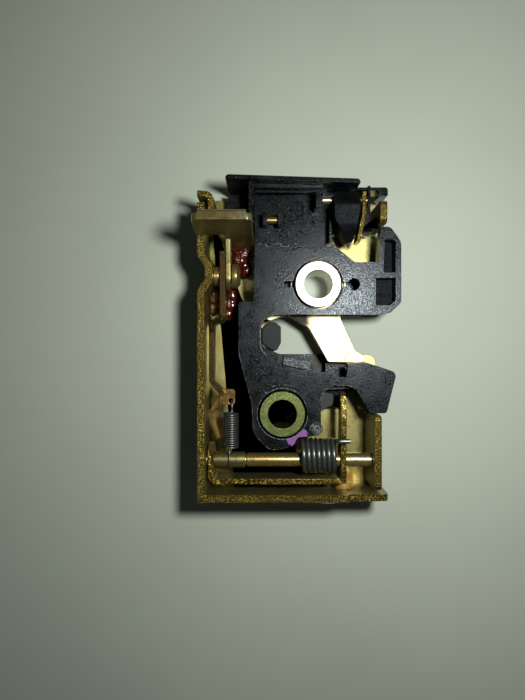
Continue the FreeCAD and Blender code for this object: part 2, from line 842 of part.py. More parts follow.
def outside_lever():
    """The U-shaped release lever, bent from one strip and pierced for the rod."""
    bent = slab(
        strip(
            [
                (YOKE_LEFT, -45.8, 0),
                (YOKE_LEFT, YOKE_WEB, YOKE_SHEET),
                (YOKE_RIGHT, YOKE_WEB, YOKE_SHEET),
                (YOKE_RIGHT, YOKE_TIP, 0),
            ],
            YOKE_SHEET,
        ),
        YOKE_LOW,
        YOKE_HIGH,
    )
    notch = COIL_WIRE_R + SEAT
    notch_y = ROD_Y + COIL_SHIFT + COIL_R
    notch_floor = YOKE_HIGH - NOTCH_DEEP
    side = slab(
        [
            (YOKE_WEB - YOKE_SHEET, YOKE_LOW),
            (ROD_Y - 1.0, YOKE_LOW, 3.0),
            (-43.0, 10.6, 4.0),
            (YOKE_TIP, plate_high + SEAT + 0.2, 0.8),
            (YOKE_TIP, 15.6, 1.2),
            (-38.0, YOKE_HIGH, 3.0),
            (notch_y + notch, YOKE_HIGH),
            (notch_y + notch, notch_floor, 0.3),
            (notch_y - notch, notch_floor, 0.3),
            (notch_y - notch, YOKE_HIGH),
            (YOKE_WEB - YOKE_SHEET, YOKE_HIGH),
        ],
        YOKE_LEFT - YOKE_SHEET,
        YOKE_RIGHT + YOKE_SHEET,
        "X",
    )
    left_corner = slab(
        [(-47.5, YOKE_HIGH + 1), (-47.5, YOKE_HIGH), (-45.0, YOKE_HIGH - 3.0), (-44.0, YOKE_HIGH + 1)],
        YOKE_LEFT - YOKE_SHEET,
        YOKE_LEFT + YOKE_SHEET,
        "X",
    )
    pivot = rod(ROD_R + RUN, ROD_Y, ROD_Z, YOKE_LEFT - YOKE_SHEET, YOKE_RIGHT + YOKE_SHEET, "X")
    return bent.common(side).cut([pivot, left_corner])


def pivot_rod():
    """The rod through the left wall, the outside lever and the right wall, with a turned groove."""
    collar_left = YOKE_LEFT + YOKE_SHEET / 2 + SEAT
    groove_right = ROD_GROOVE_X + ROD_GROOVE_WIDE
    groove_r = ROD_R - ROD_GROOVE_DEEP
    return turned(
        [
            (0, TRAY_LEFT + 0.2),
            (ROD_R, TRAY_LEFT + 0.2),
            (ROD_R, collar_left),
            (ROD_COLLAR_R, collar_left),
            (ROD_COLLAR_R, ROD_GROOVE_X),
            (groove_r, ROD_GROOVE_X),
            (groove_r, groove_right),
            (ROD_R, groove_right),
            (ROD_R, TRAY_RIGHT_LOW - 0.2),
            (0, TRAY_RIGHT_LOW - 0.2),
        ],
        ROD_Y,
        ROD_Z,
        "X",
    )


def return_spring():
    """The torsion spring on the rod: one leg on the tray floor, one hooked over the lever's arm."""
    winding = coil(COIL_R, COIL_WIRE_R, COIL_PITCH, COIL_TURNS, 4, 12)
    rise = FreeCAD.Vector(0, 2 * math.pi * COIL_R, COIL_PITCH).normalize()
    foot = FreeCAD.Vector(COIL_R, 0, 0)
    head = FreeCAD.Vector(COIL_R, 0, COIL_PITCH * COIL_TURNS)
    axis_z = ROD_Z + COIL_RISE
    leg_down = axis_z - SHEET - COIL_WIRE_R - SEAT
    hook_rise = YOKE_HIGH - NOTCH_DEEP + COIL_WIRE_R + SEAT - axis_z
    bend = head + rise * hook_rise
    hook_out = YOKE_RIGHT + YOKE_SHEET / 2 + NOTCH_DEEP - coil_left
    hook_end = FreeCAD.Vector(bend.x, bend.y, hook_out)
    spring = joined(
        winding,
        *wire_run([foot, foot - rise * leg_down], COIL_WIRE_R),
        *wire_run([head, bend, hook_end], COIL_WIRE_R),
    )
    turn = FreeCAD.Rotation(FreeCAD.Vector(0, 1, 0), FreeCAD.Vector(0, 0, 1), FreeCAD.Vector(1, 0, 0), "XYZ")
    spring.Placement = FreeCAD.Placement(FreeCAD.Vector(coil_left, ROD_Y + COIL_SHIFT, axis_z), turn)
    return spring


def side_link():
    """The joggled release link that slides on the lever rivet, with its spring tab and lower tail."""
    upper = slab(
        strip(
            [
                (LINK_X, LINK_TOP, 0),
                (LINK_X, LINK_JOG, 1.3),
                (LINK_OUT_X, LINK_JOG, 1.6),
                (LINK_OUT_X, LINK_LOW, 2.0),
                (-27.2, -31.6, 0),
            ],
            LINK_SHEET,
        ),
        LINK_BOTTOM_Z,
        LINK_TOP_Z,
    )
    side = slab(
        [
            (-33.0, 11.0),
            (-14.0, 11.0, 3.0),
            (-9.0, LINK_BOTTOM_Z, 3.0),
            (LINK_TOP + 1, LINK_BOTTOM_Z, 0),
            (LINK_TOP + 1, LINK_TOP_Z, 0),
            (-9.0, LINK_TOP_Z, 3.0),
            (-14.0, 16.0, 3.0),
            (-33.0, 16.0),
        ],
        LINK_OUT_X - 3,
        LINK_X + 3,
        "X",
    )
    tab = slab(
        [
            (-28.4, -30.0, 0.3),
            (-28.4, -34.6, 0.8),
            (-23.8, -34.6, 0.8),
            (-23.8, -30.0, 0.8),
        ],
        PULL_Z - TAB_THICK / 2,
        PULL_Z + TAB_THICK / 2,
    )
    tail = slab(
        strip([(-27.9, -32.6, 0), (-30.9, -37.0, 1.6), (-28.6, -44.4, 0)], 1.2),
        PULL_Z - 4.6,
        PULL_Z - 0.2,
    )
    slot_r = RIVET_R + RUN
    slot = slab(
        [
            (RIVET_Y - LINK_TRAVEL - slot_r - 0.2, RIVET_Z - slot_r, slot_r - 0.01),
            (RIVET_Y + slot_r, RIVET_Z - slot_r, slot_r - 0.01),
            (RIVET_Y + slot_r, RIVET_Z + slot_r, slot_r - 0.01),
            (RIVET_Y - LINK_TRAVEL - slot_r - 0.2, RIVET_Z + slot_r, slot_r - 0.01),
        ],
        LINK_X - 2,
        LINK_X + 2,
        "X",
    )
    eye = rod(0.7, PULL_X, PULL_EYE_Y, PULL_Z - 2, PULL_Z + 2)
    return joined(upper.common(side), tab, tail).cut([slot, eye])


def tension_spring():
    """The close-wound spring from the link's tab to the rod, with a loop at each end."""
    pitch = (PULL_HIGH - PULL_LOW) / PULL_TURNS
    winding = coil(PULL_COIL_R, PULL_WIRE_R, pitch, PULL_TURNS, 3, 8)
    rise = FreeCAD.Vector(0, 2 * math.pi * PULL_COIL_R, pitch).normalize()
    across = FreeCAD.Vector(1, 0, 0)
    loop_r = ROD_COLLAR_R + PULL_WIRE_R + SEAT
    eye_r = TAB_THICK / 2 + PULL_WIRE_R + SEAT
    loop_z = ROD_Y - PULL_LOW
    eye_z = PULL_EYE_Y - PULL_LOW - eye_r
    foot = FreeCAD.Vector(PULL_COIL_R, 0, 0)
    head = FreeCAD.Vector(PULL_COIL_R, 0, PULL_HIGH - PULL_LOW)
    low_run = [foot, foot - rise * 0.4, FreeCAD.Vector(0, 0, -1.0), FreeCAD.Vector(0, 0, loop_z + loop_r)]
    high_run = [head, head + rise * 0.4, FreeCAD.Vector(0, 0, eye_z - eye_r)]
    loops = []
    for loop_radius, level, quarter in ((loop_r, loop_z, 90), (eye_r, eye_z, -90)):
        loop = coil(loop_radius, PULL_WIRE_R, 0, 0.9, 4, 10)
        loop.Placement = FreeCAD.Placement(
            FreeCAD.Vector(0, 0, level),
            FreeCAD.Rotation(FreeCAD.Vector(0, 1, 0), FreeCAD.Vector(0, 0, 1), across, "XYZ")
            * FreeCAD.Rotation(FreeCAD.Vector(0, 0, 1), quarter),
        )
        loops.append(loop)
    spring = joined(
        winding,
        *loops,
        *wire_run(low_run, PULL_WIRE_R),
        *wire_run(high_run, PULL_WIRE_R),
    )
    turn = FreeCAD.Rotation(across, -90)
    spring.Placement = FreeCAD.Placement(FreeCAD.Vector(PULL_X, PULL_LOW, PULL_Z), turn)
    return spring


def inside_lever():
    """The inside release lever: an arm on the rivet and a tall leaning tab bent from it."""
    arm_right = RIVET_HEAD_X - LEVER_GAP
    arm_left = arm_right - LEVER_SHEET
    lean = math.tan(math.radians(TAB_LEAN))
    foot_z = recess_high + 0.6
    neck_z = 20.0
    arm = slab(
        [
            (RIVET_Y - 4.4, RIVET_Z - 4.2, 3.8),
            (RIVET_Y + 3.0, RIVET_Z - 4.6, 1.0),
            (TAB_Y, foot_z + 1.0),
            (TAB_Y + lean * (neck_z - foot_z), neck_z),
            (RIVET_Y + 3.0, RIVET_Z + 4.4, 2.0),
            (RIVET_Y - 4.4, RIVET_Z + 4.2, 3.8),
        ],
        arm_left,
        arm_right,
        "X",
    )
    tab = slab(
        [
            (arm_left, foot_z, 0.4),
            (TAB_RIGHT - 3.0, foot_z, 1.0),
            (TAB_RIGHT, foot_z + 5.0, 1.0),
            (TAB_RIGHT, TAB_HIGH, 1.6),
            (TAB_LEFT, TAB_HIGH, 1.6),
            (TAB_LEFT, TRAY_HIGH + 1.2, 1.0),
            (arm_left, TRAY_HIGH + 1.2, 0.8),
        ],
        TAB_Y - TAB_SHEET / 2,
        TAB_Y + TAB_SHEET / 2,
        "Y",
    )
    hem = slab(
        [
            (TAB_Y, TAB_HIGH - HEM_HIGH),
            (TAB_Y - TAB_SHEET / 2 + HEM_THICK, TAB_HIGH - HEM_HIGH, 0.6),
            (TAB_Y - TAB_SHEET / 2 + HEM_THICK, TAB_HIGH, 0.9),
            (TAB_Y, TAB_HIGH),
        ],
        TAB_LEFT + 1.6,
        TAB_RIGHT - 1.6,
        "X",
    )
    tab = joined(tab, hem)
    tab.rotate(FreeCAD.Vector(0, TAB_Y, foot_z), FreeCAD.Vector(1, 0, 0), -TAB_LEAN)
    return joined(arm, tab).cut(rod(RIVET_R + RUN, RIVET_Y, RIVET_Z, arm_left - 1, arm_right + 1, "X"))


def lever_rivet():
    """The shouldered rivet in the left wall's bead that carries the inside lever and guides the link."""
    wall_face = TRAY_LEFT + BEAD_DEEP + SHEET
    shoulder = LINK_X - LINK_SHEET / 2 - LEVER_GAP
    head_end = RIVET_HEAD_X + RIVET_HEAD_LONG
    return turned(
        [
            (0, wall_face - SHEET),
            (RIVET_R, wall_face - SHEET),
            (RIVET_R, wall_face),
            (RIVET_R + 0.9, wall_face),
            (RIVET_R + 0.9, shoulder),
            (RIVET_R, shoulder),
            (RIVET_R, RIVET_HEAD_X),
            (RIVET_HEAD_R, RIVET_HEAD_X),
            (RIVET_HEAD_R, head_end - 0.9),
            (RIVET_HEAD_R - 1.2, head_end),
            (0, head_end),
        ],
        RIVET_Y,
        RIVET_Z,
        "X",
    )


def lock_lever():
    """The moulded lock lever: a drop-shaped body with its hub on the lock pin."""
    plan = slab(
        [
            (LOCK_LEFT, LOCK_Y + LOCK_HUB_R, 1.5),
            (LOCK_LEFT, 18.5, 4.0),
            (8.2, 12.0, 0.8),
            (LOCK_RIGHT - 1.4, 12.6, 1.0),
            (LOCK_RIGHT, 21.0, 3.0),
            (LOCK_RIGHT, LOCK_Y + LOCK_HUB_R, 1.5),
        ],
        LOCK_Z - 5.6,
        LOCK_Z + 6.4,
    )
    side = slab(
        [
            (LOCK_Y + LOCK_HUB_R, LOCK_Z - LOCK_HUB_R, LOCK_HUB_R - 0.1),
            (LOCK_Y + LOCK_HUB_R, LOCK_Z + 3.0, 1.5),
            (LOCK_Y - LOCK_HUB_R, LOCK_Z + 6.2, 2.0),
            (16.0, LOCK_Z + 5.0, 3.0),
            (11.4, LOCK_Z - 1.0, 1.5),
            (11.4, LOCK_Z - 5.0, 1.5),
            (19.0, LOCK_Z - 5.0, 3.0),
        ],
        LOCK_LEFT - 1,
        LOCK_RIGHT + 1,
        "X",
    )
    return plan.common(side).cut(rod(LOCK_PIN_R + RUN, LOCK_Y, LOCK_Z, LOCK_LEFT - 1, LOCK_RIGHT + 1, "X"))


def lock_plate():
    """The curved steel strip on the lock lever's right side, hung on the same pin."""
    bent = slab(
        strip(
            [
                (LOCK_PLATE_X, LOCK_Y + LOCK_HUB_R, 0),
                (LOCK_PLATE_X, LOCK_Y - 4.0, 8.0),
                (LOCK_PLATE_X - 1.7, LOCK_Y - 12.4, 0),
            ],
            LOCK_PLATE_SHEET,
        ),
        LOCK_Z - 3.6,
        LOCK_Z + 3.0,
    )
    return bent.cut(rod(LOCK_PIN_R + RUN, LOCK_Y, LOCK_Z, LOCK_RIGHT, LOCK_RIB_X, "X"))


def lock_pin():
    """The pin from the recess rib through the lock lever and its plate."""
    return rod(LOCK_PIN_R, LOCK_Y, LOCK_Z, -0.4, LOCK_PIN_RIGHT - 0.2, "X")


def link_pin():
    """The short pin held across two ribs in the recess."""
    return rod(LINK_PIN_R, LINK_PIN_Y, LINK_PIN_Z, LINK_PIN_LEFT, LINK_PIN_RIGHT, "X")


def wall_rivet():
    """The domed rivet in the bottom wall."""
    outer = TRAY_BOTTOM - WALL_RIVET_PROUD
    return turned(
        [
            (0, outer),
            (WALL_RIVET_HEAD_R - 2.4, outer),
            (WALL_RIVET_HEAD_R - 0.9, outer + 0.6),
            (WALL_RIVET_HEAD_R, outer + 1.7),
            (WALL_RIVET_HEAD_R, TRAY_BOTTOM),
            (WALL_RIVET_R, TRAY_BOTTOM),
            (WALL_RIVET_R, TRAY_BOTTOM + SHEET),
            (0, TRAY_BOTTOM + SHEET),
        ],
        WALL_RIVET_X,
        WALL_RIVET_Z,
        "Y",
    )


def lever_stop():
    """The elastomer stop in the bottom wall, with a heel beside the lever's right corner."""
    inner = TRAY_BOTTOM + SHEET
    face = YOKE_WEB - YOKE_SHEET / 2 - SEAT
    button = turned(
        [
            (0, TRAY_BOTTOM),
            (STOP_R / 2, TRAY_BOTTOM),
            (STOP_R / 2, inner),
            (STOP_R, inner),
            (STOP_R, face - 0.3),
            (STOP_R - 0.3, face),
            (0, face),
        ],
        STOP_X,
        STOP_Z,
        "Y",
    )
    heel_left = YOKE_RIGHT + YOKE_SHEET / 2 + SEAT
    heel = slab(
        [
            (heel_left, face - 1),
            (STOP_X + STOP_R, face - 1),
            (STOP_X + STOP_R, STOP_HEEL_TOP, 1.0),
            (heel_left, STOP_HEEL_TOP),
        ],
        STOP_Z - STOP_R / 2,
        STOP_Z + STOP_R / 2,
    )
    return joined(button, heel)


NODES = {
    "base_frame": base_frame,
    "lower_housing": lower_housing,
    "striker_bumper": striker_bumper,
    "upper_housing": upper_housing,
    "recess_housing": recess_housing,
    "fork": fork,
    "fork_bush": lambda: bush(0, 0),
    "fork_spring": lambda: plate_spring(0, 0, 100),
    "pawl": pawl,
    "pawl_bush": lambda: bush(PAWL_X, PAWL_Y),
    "pawl_spring": lambda: plate_spring(PAWL_X, PAWL_Y, -140),
    "outside_lever": outside_lever,
    "pivot_rod": pivot_rod,
    "return_spring": return_spring,
    "side_link": side_link,
    "tension_spring": tension_spring,
    "inside_lever": inside_lever,
    "lever_rivet": lever_rivet,
    "lock_lever": lock_lever,
    "lock_plate": lock_plate,
    "lock_pin": lock_pin,
    "link_pin": link_pin,
    "wall_rivet": wall_rivet,
    "lever_stop": lever_stop,
}

os.makedirs("parts", exist_ok=True)
for node, make in NODES.items():
    shape = make()
    assert shape.isValid() and shape.Solids, node
    print(node, len(shape.Solids), round(shape.Volume, 1))
    shape.exportStep("parts/" + node + ".step")
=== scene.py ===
# %% [markdown]
# # A car-door latch, from solids to a finished picture
#
# The object is the latch that holds a car's side door: a pressed steel tray in yellow zinc, black
# moulded housings, a claw and a pawl on hollow bushes, and a handful of levers and springs. Its solids
# come from a CAD program and are already the right size. This lesson gives them rounded edges, real
# wire in the springs, grease, paint and believable metal, and then lights them like the photograph.
#
# Blender works in metres, and the latch is only 93 mm long, so lengths here are written in millimetres
# and multiplied by MM.

import json
import math

import bpy
from mathutils import Matrix, Vector

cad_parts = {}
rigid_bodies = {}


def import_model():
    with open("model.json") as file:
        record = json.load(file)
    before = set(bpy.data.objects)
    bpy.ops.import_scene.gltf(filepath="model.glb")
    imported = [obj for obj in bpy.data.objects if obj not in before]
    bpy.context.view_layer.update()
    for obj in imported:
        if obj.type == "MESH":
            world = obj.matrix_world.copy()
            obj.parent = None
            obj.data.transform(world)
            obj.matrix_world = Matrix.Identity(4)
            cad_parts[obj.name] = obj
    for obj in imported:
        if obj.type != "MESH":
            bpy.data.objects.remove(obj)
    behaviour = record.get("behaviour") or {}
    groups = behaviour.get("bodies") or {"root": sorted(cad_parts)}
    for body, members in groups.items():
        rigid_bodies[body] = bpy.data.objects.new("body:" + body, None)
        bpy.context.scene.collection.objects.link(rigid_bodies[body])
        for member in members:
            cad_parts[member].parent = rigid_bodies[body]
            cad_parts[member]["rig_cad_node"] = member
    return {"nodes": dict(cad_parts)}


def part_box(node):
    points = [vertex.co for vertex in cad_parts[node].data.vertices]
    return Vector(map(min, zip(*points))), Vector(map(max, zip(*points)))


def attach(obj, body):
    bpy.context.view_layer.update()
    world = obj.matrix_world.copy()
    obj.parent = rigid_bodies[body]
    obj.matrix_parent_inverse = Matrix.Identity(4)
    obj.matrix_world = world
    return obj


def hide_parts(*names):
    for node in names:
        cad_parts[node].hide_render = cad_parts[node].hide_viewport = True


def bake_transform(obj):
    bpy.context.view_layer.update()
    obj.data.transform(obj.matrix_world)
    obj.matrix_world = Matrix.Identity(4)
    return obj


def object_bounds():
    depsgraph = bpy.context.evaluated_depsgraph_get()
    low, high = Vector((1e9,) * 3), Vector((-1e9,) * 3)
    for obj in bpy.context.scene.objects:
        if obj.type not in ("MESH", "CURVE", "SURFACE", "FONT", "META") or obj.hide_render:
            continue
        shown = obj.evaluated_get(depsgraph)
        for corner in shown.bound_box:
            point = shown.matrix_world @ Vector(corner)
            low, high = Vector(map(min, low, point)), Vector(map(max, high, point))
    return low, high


MM = 0.001
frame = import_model()
cad_low, cad_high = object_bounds()
cad_size = [round((high - low) / MM, 1) for low, high in zip(cad_low, cad_high)]
print("solids loaded:", len(frame["nodes"]), "size in mm:", cad_size)

# %% [markdown]
# ## The camera
#
# The photograph looks straight down from about a hand's length above the latch, so near things lean
# outward a little. A camera that looks along -Z needs no turning at all. The lens is worked out from
# the picture: its long side is 700 pixels and stands for 36 mm of sensor.

# %% Set up the camera
IMAGE_LONG_SIDE = 700
FOCAL_PIXELS = 607
CAMERA_AT = (-15.87, -18.75, 190.0)
SENSOR_LONG_SIDE = 36
NEAREST_SEEN = 5

bpy.ops.object.select_all(action="DESELECT")
bpy.ops.object.camera_add(location=[value * MM for value in CAMERA_AT], rotation=(0, 0, 0))
camera = bpy.context.object
camera.name = "camera"
camera.data.sensor_width = SENSOR_LONG_SIDE
camera.data.lens = FOCAL_PIXELS / IMAGE_LONG_SIDE * SENSOR_LONG_SIDE
camera.data.clip_start = NEAREST_SEEN * MM
bpy.context.scene.camera = camera
bpy.context.scene.view_settings.view_transform = "Standard"
print("lens in mm:", round(camera.data.lens, 2))

# %% [markdown]
# ## Small helpers for selecting
#
# An operator in Blender acts on whatever is selected, as the mouse would. Two helpers keep that
# predictable: one picks a single object, and one picks faces by a test on their place and direction.

# %% Pick objects and faces


def pick(obj):
    """Make this the only selected object, and the active one."""
    bpy.ops.object.select_all(action="DESELECT")
    obj.select_set(True)
    bpy.context.view_layer.objects.active = obj


def edit_faces(obj, test):
    """Enter edit mode with only the faces selected whose centre and normal pass the test."""
    pick(obj)
    for vertex in obj.data.vertices:
        vertex.select = False
    for edge in obj.data.edges:
        edge.select = False
    for face in obj.data.polygons:
        face.select = bool(test(face.center / MM, face.normal))
    bpy.context.tool_settings.mesh_select_mode = (False, False, True)
    bpy.ops.object.mode_set(mode="EDIT")


# %% [markdown]
# ## The table
#
# A plain pale table carries the latch and takes its shadow. One large plane is enough: its colour is
# the pale grey-green of the photograph, with the faintest cloudiness so that it doesn't look like paper.

# %% Lay the table
TABLE_ACROSS = 4000
TABLE_GAP = 0.02

bpy.ops.object.select_all(action="DESELECT")
bpy.ops.mesh.primitive_plane_add(size=TABLE_ACROSS * MM, location=(0, 0, -TABLE_GAP * MM))
table = bpy.context.object
table.name = "table"

# %% [markdown]
# ## The lamp
#
# The photograph has one small lamp close to the camera, a little to the right. It throws the tall left
# wall's shadow to the left, and its mirror image sits on the flat steel near the upper bush. A round
# area lamp gives the same shadow with a softer edge. Its power comes from its height: at pi squared
# times the height squared, a white surface straight below it looks exactly white. The world adds a dim
# even light from all sides, so that nothing is quite black.

# %% Hang the lamp
LAMP_AT = (28, 5, 172)
LAMP_ACROSS = 25
LAMP_WATTS = (math.pi * LAMP_AT[2] * MM) ** 2
LAMP_COLOUR = (1.0, 0.985, 0.94)
WORLD_COLOUR = (0.86, 0.92, 0.86, 1)
WORLD_STRENGTH = 0.03

bpy.ops.object.select_all(action="DESELECT")
bpy.ops.object.light_add(type="AREA", location=[value * MM for value in LAMP_AT])
lamp = bpy.context.object
lamp.name = "lamp"
lamp.data.shape = "DISK"
lamp.data.size = LAMP_ACROSS * MM
lamp.data.energy = LAMP_WATTS
lamp.data.color = LAMP_COLOUR

world = bpy.data.worlds.new("room")
bpy.context.scene.world = world
world.use_nodes = True
sky = world.node_tree.nodes["Background"].inputs
sky["Color"].default_value = WORLD_COLOUR
sky["Strength"].default_value = WORLD_STRENGTH
print("lamp at", LAMP_AT, "mm with", round(LAMP_WATTS, 3), "W")

# %% [markdown]
# ## Building blocks for materials
#
# A material is a little network of nodes. The first helper adds a node and fills in its inputs: an
# input can be a plain number or the output of another node, and then the two are linked.

# %% Helpers for node networks


def add(tree, kind, inputs=None, **settings):
    """Add a node, set its options, and fill its inputs with values or with links."""
    made = tree.nodes.new(kind)
    for name, value in settings.items():
        setattr(made, name, value)
    for name, value in (inputs or {}).items():
        if isinstance(value, bpy.types.NodeSocket):
            tree.links.new(value, made.inputs[name])
        else:
            made.inputs[name].default_value = value
    return made


def maths(tree, operation, first, second=0.0):
    """One sum on two numbers."""
    return add(tree, "ShaderNodeMath", {0: first, 1: second}, operation=operation).outputs[0]


def between(tree, value, low, high, to_low=0.0, to_high=1.0):
    """Stretch a value from low..high to to_low..to_high, held at the ends."""
    inputs = {"Value": value, "From Min": low, "From Max": high, "To Min": to_low, "To Max": to_high}
    return add(tree, "ShaderNodeMapRange", inputs).outputs["Result"]


def blend(tree, mask, first, second):
    """Two colours mixed by a mask. A Mix node keeps its colours in inputs 6 and 7 and output 2."""
    inputs = {0: mask, 6: first, 7: second}
    return add(tree, "ShaderNodeMix", inputs, data_type="RGBA").outputs[2]


def noise(tree, vector, size, detail=2.0, roughness=0.5, distortion=0.0):
    """Cloudy noise whose blobs are about that many millimetres across."""
    inputs = {
        "Vector": vector,
        "Scale": 1 / (size * MM),
        "Detail": detail,
        "Roughness": roughness,
        "Distortion": distortion,
    }
    return add(tree, "ShaderNodeTexNoise", inputs).outputs["Fac"]


def stretched(tree, vector, scale):
    """The coordinates scaled, to draw a pattern out in one direction."""
    return add(tree, "ShaderNodeMapping", {"Vector": vector, "Scale": scale}).outputs["Vector"]


def new_group(name, inputs, outputs):
    """An empty node group with named number, colour or vector sockets, and its two end nodes."""
    kinds = {"number": "NodeSocketFloat", "colour": "NodeSocketColor", "vector": "NodeSocketVector"}
    group = bpy.data.node_groups.new(name, "ShaderNodeTree")
    for socket, kind in inputs.items():
        group.interface.new_socket(socket, in_out="INPUT", socket_type=kinds[kind])
    for socket, kind in outputs.items():
        group.interface.new_socket(socket, in_out="OUTPUT", socket_type=kinds[kind])
    return group, group.nodes.new("NodeGroupInput").outputs, group.nodes.new("NodeGroupOutput").inputs


def use_group(tree, group, inputs):
    """Place a node group in a material, and give back its outputs."""
    return add(tree, "ShaderNodeGroup", inputs, node_tree=group).outputs


# %% [markdown]
# ### Effects that several materials share
#
# Four effects come back on many parts. **Zinc bloom** is the cloudy, slightly iridescent unevenness
# of a yellow passivated zinc coat. **Speckle** is a scatter of fine grains: the torn grain of a sheared
# edge, or dust in grease. **Rub** is a field of fine scratches, drawn out in one direction, that come
# and go in patches, as handling leaves them. **Dab** is a round patch about a point, with a ragged
# rim, for paint and for grease.

# %% Node groups for bloom, speckle, rub and dab
bloom_group, given, result = new_group(
    "zinc bloom",
    {"Vector": "vector", "Main colour": "colour", "Bloom colour": "colour", "Stain colour": "colour"},
    {"Colour": "colour", "Cloud": "number"},
)
broad = noise(bloom_group, given["Vector"], 9.0, detail=4.0, roughness=0.6, distortion=0.6)
fine = noise(bloom_group, given["Vector"], 1.1, detail=5.0, roughness=0.65)
cloud = between(bloom_group, broad, 0.38, 0.62)
toned = blend(bloom_group, cloud, given["Main colour"], given["Bloom colour"])
stain = between(bloom_group, fine, 0.56, 0.74, 0.0, 0.7)
bloom_group.links.new(blend(bloom_group, stain, toned, given["Stain colour"]), result["Colour"])
bloom_group.links.new(between(bloom_group, fine, 0.3, 0.7), result["Cloud"])

speckle_group, given, result = new_group(
    "speckle",
    {"Vector": "vector", "Grains per mm": "number", "Amount": "number"},
    {"Mask": "number"},
)
grains = add(
    speckle_group,
    "ShaderNodeTexNoise",
    {
        "Vector": given["Vector"],
        "Scale": maths(speckle_group, "MULTIPLY", given["Grains per mm"], 1 / MM),
        "Detail": 2.0,
        "Roughness": 0.7,
    },
)
lowered = maths(speckle_group, "MULTIPLY", given["Amount"], 0.4)
edge_of_grain = maths(speckle_group, "SUBTRACT", 0.78, lowered)
grain_mask = add(
    speckle_group,
    "ShaderNodeMapRange",
    {
        "Value": grains.outputs["Fac"],
        "From Min": edge_of_grain,
        "From Max": maths(speckle_group, "ADD", edge_of_grain, 0.1),
    },
)
speckle_group.links.new(grain_mask.outputs["Result"], result["Mask"])

rub_group, given, result = new_group(
    "rub",
    {"Vector": "vector", "Amount": "number"},
    {"Mask": "number"},
)
drawn_out = stretched(rub_group, given["Vector"], (6.0, 0.7, 1.0))
hairs = noise(rub_group, drawn_out, 0.9, detail=5.0, roughness=0.75)
where = noise(rub_group, given["Vector"], 7.0, detail=3.0, roughness=0.6)
hair_mask = between(rub_group, hairs, 0.5, 0.72)
patch_mask = between(rub_group, where, 0.45, 0.65)
hairs_in_patches = maths(rub_group, "MULTIPLY", hair_mask, patch_mask)
rubbed = maths(rub_group, "MULTIPLY", hairs_in_patches, given["Amount"])
rub_group.links.new(rubbed, result["Mask"])

DAB_RIM = 0.2
dab_group, given, result = new_group(
    "dab",
    {"Vector": "vector", "Centre": "vector", "Reach": "number", "Raggedness": "number"},
    {"Mask": "number"},
)
ends = {0: given["Vector"], 1: given["Centre"]}
shift = add(dab_group, "ShaderNodeVectorMath", ends, operation="SUBTRACT").outputs[0]
spread = add(dab_group, "ShaderNodeVectorMath", {0: shift}, operation="LENGTH").outputs["Value"]
ragged = noise(dab_group, given["Vector"], 2.2, detail=3, roughness=0.6)
wander = maths(dab_group, "SUBTRACT", ragged, 0.5)
spread = maths(dab_group, "ADD", spread, maths(dab_group, "MULTIPLY", wander, given["Raggedness"]))
fade = add(
    dab_group,
    "ShaderNodeMapRange",
    {
        "Value": spread,
        "From Min": maths(dab_group, "SUBTRACT", given["Reach"], DAB_RIM * MM),
        "From Max": given["Reach"],
        "To Min": 1.0,
        "To Max": 0.0,
    },
)
dab_group.links.new(fade.outputs["Result"], result["Mask"])
print("node groups:", [group.name for group in bpy.data.node_groups])

# %% [markdown]
# ## Materials
#
# Every material starts the same way: a Principled shader, the object's own coordinates, and a Bump
# node ready to take a height. The helper gives back those pieces, and each finish then adds its own
# colours.

# %% Start a material


def new_material(name, **values):
    """A material with its Principled shader set, its node tree and its object coordinates."""
    material = bpy.data.materials.new(name)
    material.use_nodes = True
    tree = material.node_tree
    shader = tree.nodes["Principled BSDF"]
    for socket, value in values.items():
        shader.inputs[socket.replace("_", " ")].default_value = value
    coordinates = tree.nodes.new("ShaderNodeTexCoord").outputs["Object"]
    return material, tree, shader, coordinates


def bumped(tree, shader, height, strength, depth):
    """Feed a height into the shader's normal: depth is in millimetres."""
    inputs = {"Height": height, "Strength": strength, "Distance": depth * MM}
    tree.links.new(add(tree, "ShaderNodeBump", inputs).outputs["Normal"], shader.inputs["Normal"])


# %% [markdown]
# The table's colour is what the photograph shows in full light. The noise is so weak that only its
# absence would be noticed.

# %% Table finish
TABLE_COLOUR = (0.505, 0.57, 0.485, 1)
TABLE_SHADE = (0.47, 0.535, 0.45, 1)
table_finish, tree, shader, coordinates = new_material("table paint", Roughness=0.6)
soft = between(tree, noise(tree, coordinates, 60, detail=3), 0.3, 0.7)
tree.links.new(blend(tree, soft, TABLE_COLOUR, TABLE_SHADE), shader.inputs["Base Color"])
table.data.materials.append(table_finish)

# %% [markdown]
# ### Yellow zinc
#
# Zinc-plated steel is dipped in a chromate bath, which leaves a thin gold film with olive and faintly
# green patches. It is a metal, but a slightly veiled one, so Metallic stays below 1. Where the sheet was
# sheared, the cut face is torn and grainy: gold grains stand on a dark brown ground. Pins are more
# golden, and the link's tab is browned by heat. The upper bush is drawn near-white, a painted highlight
# where its flat ring faces the lamp; the lower bush is the same metal drawn darker and greener, as its
# painted shade. A black patch of painted shade lies on the tray beside the claw, where the gap under the
# claw's arm is dark, and the tray's own finish paints it with a dab.

# %% Zinc finishes
SHADE_BLACK = (0.012, 0.011, 0.009, 1)
SHADE_RAGGED = 1.5
SHEET_COLOURS = ((0.26, 0.215, 0.075, 1), (0.31, 0.30, 0.13, 1), (0.12, 0.07, 0.02, 1))


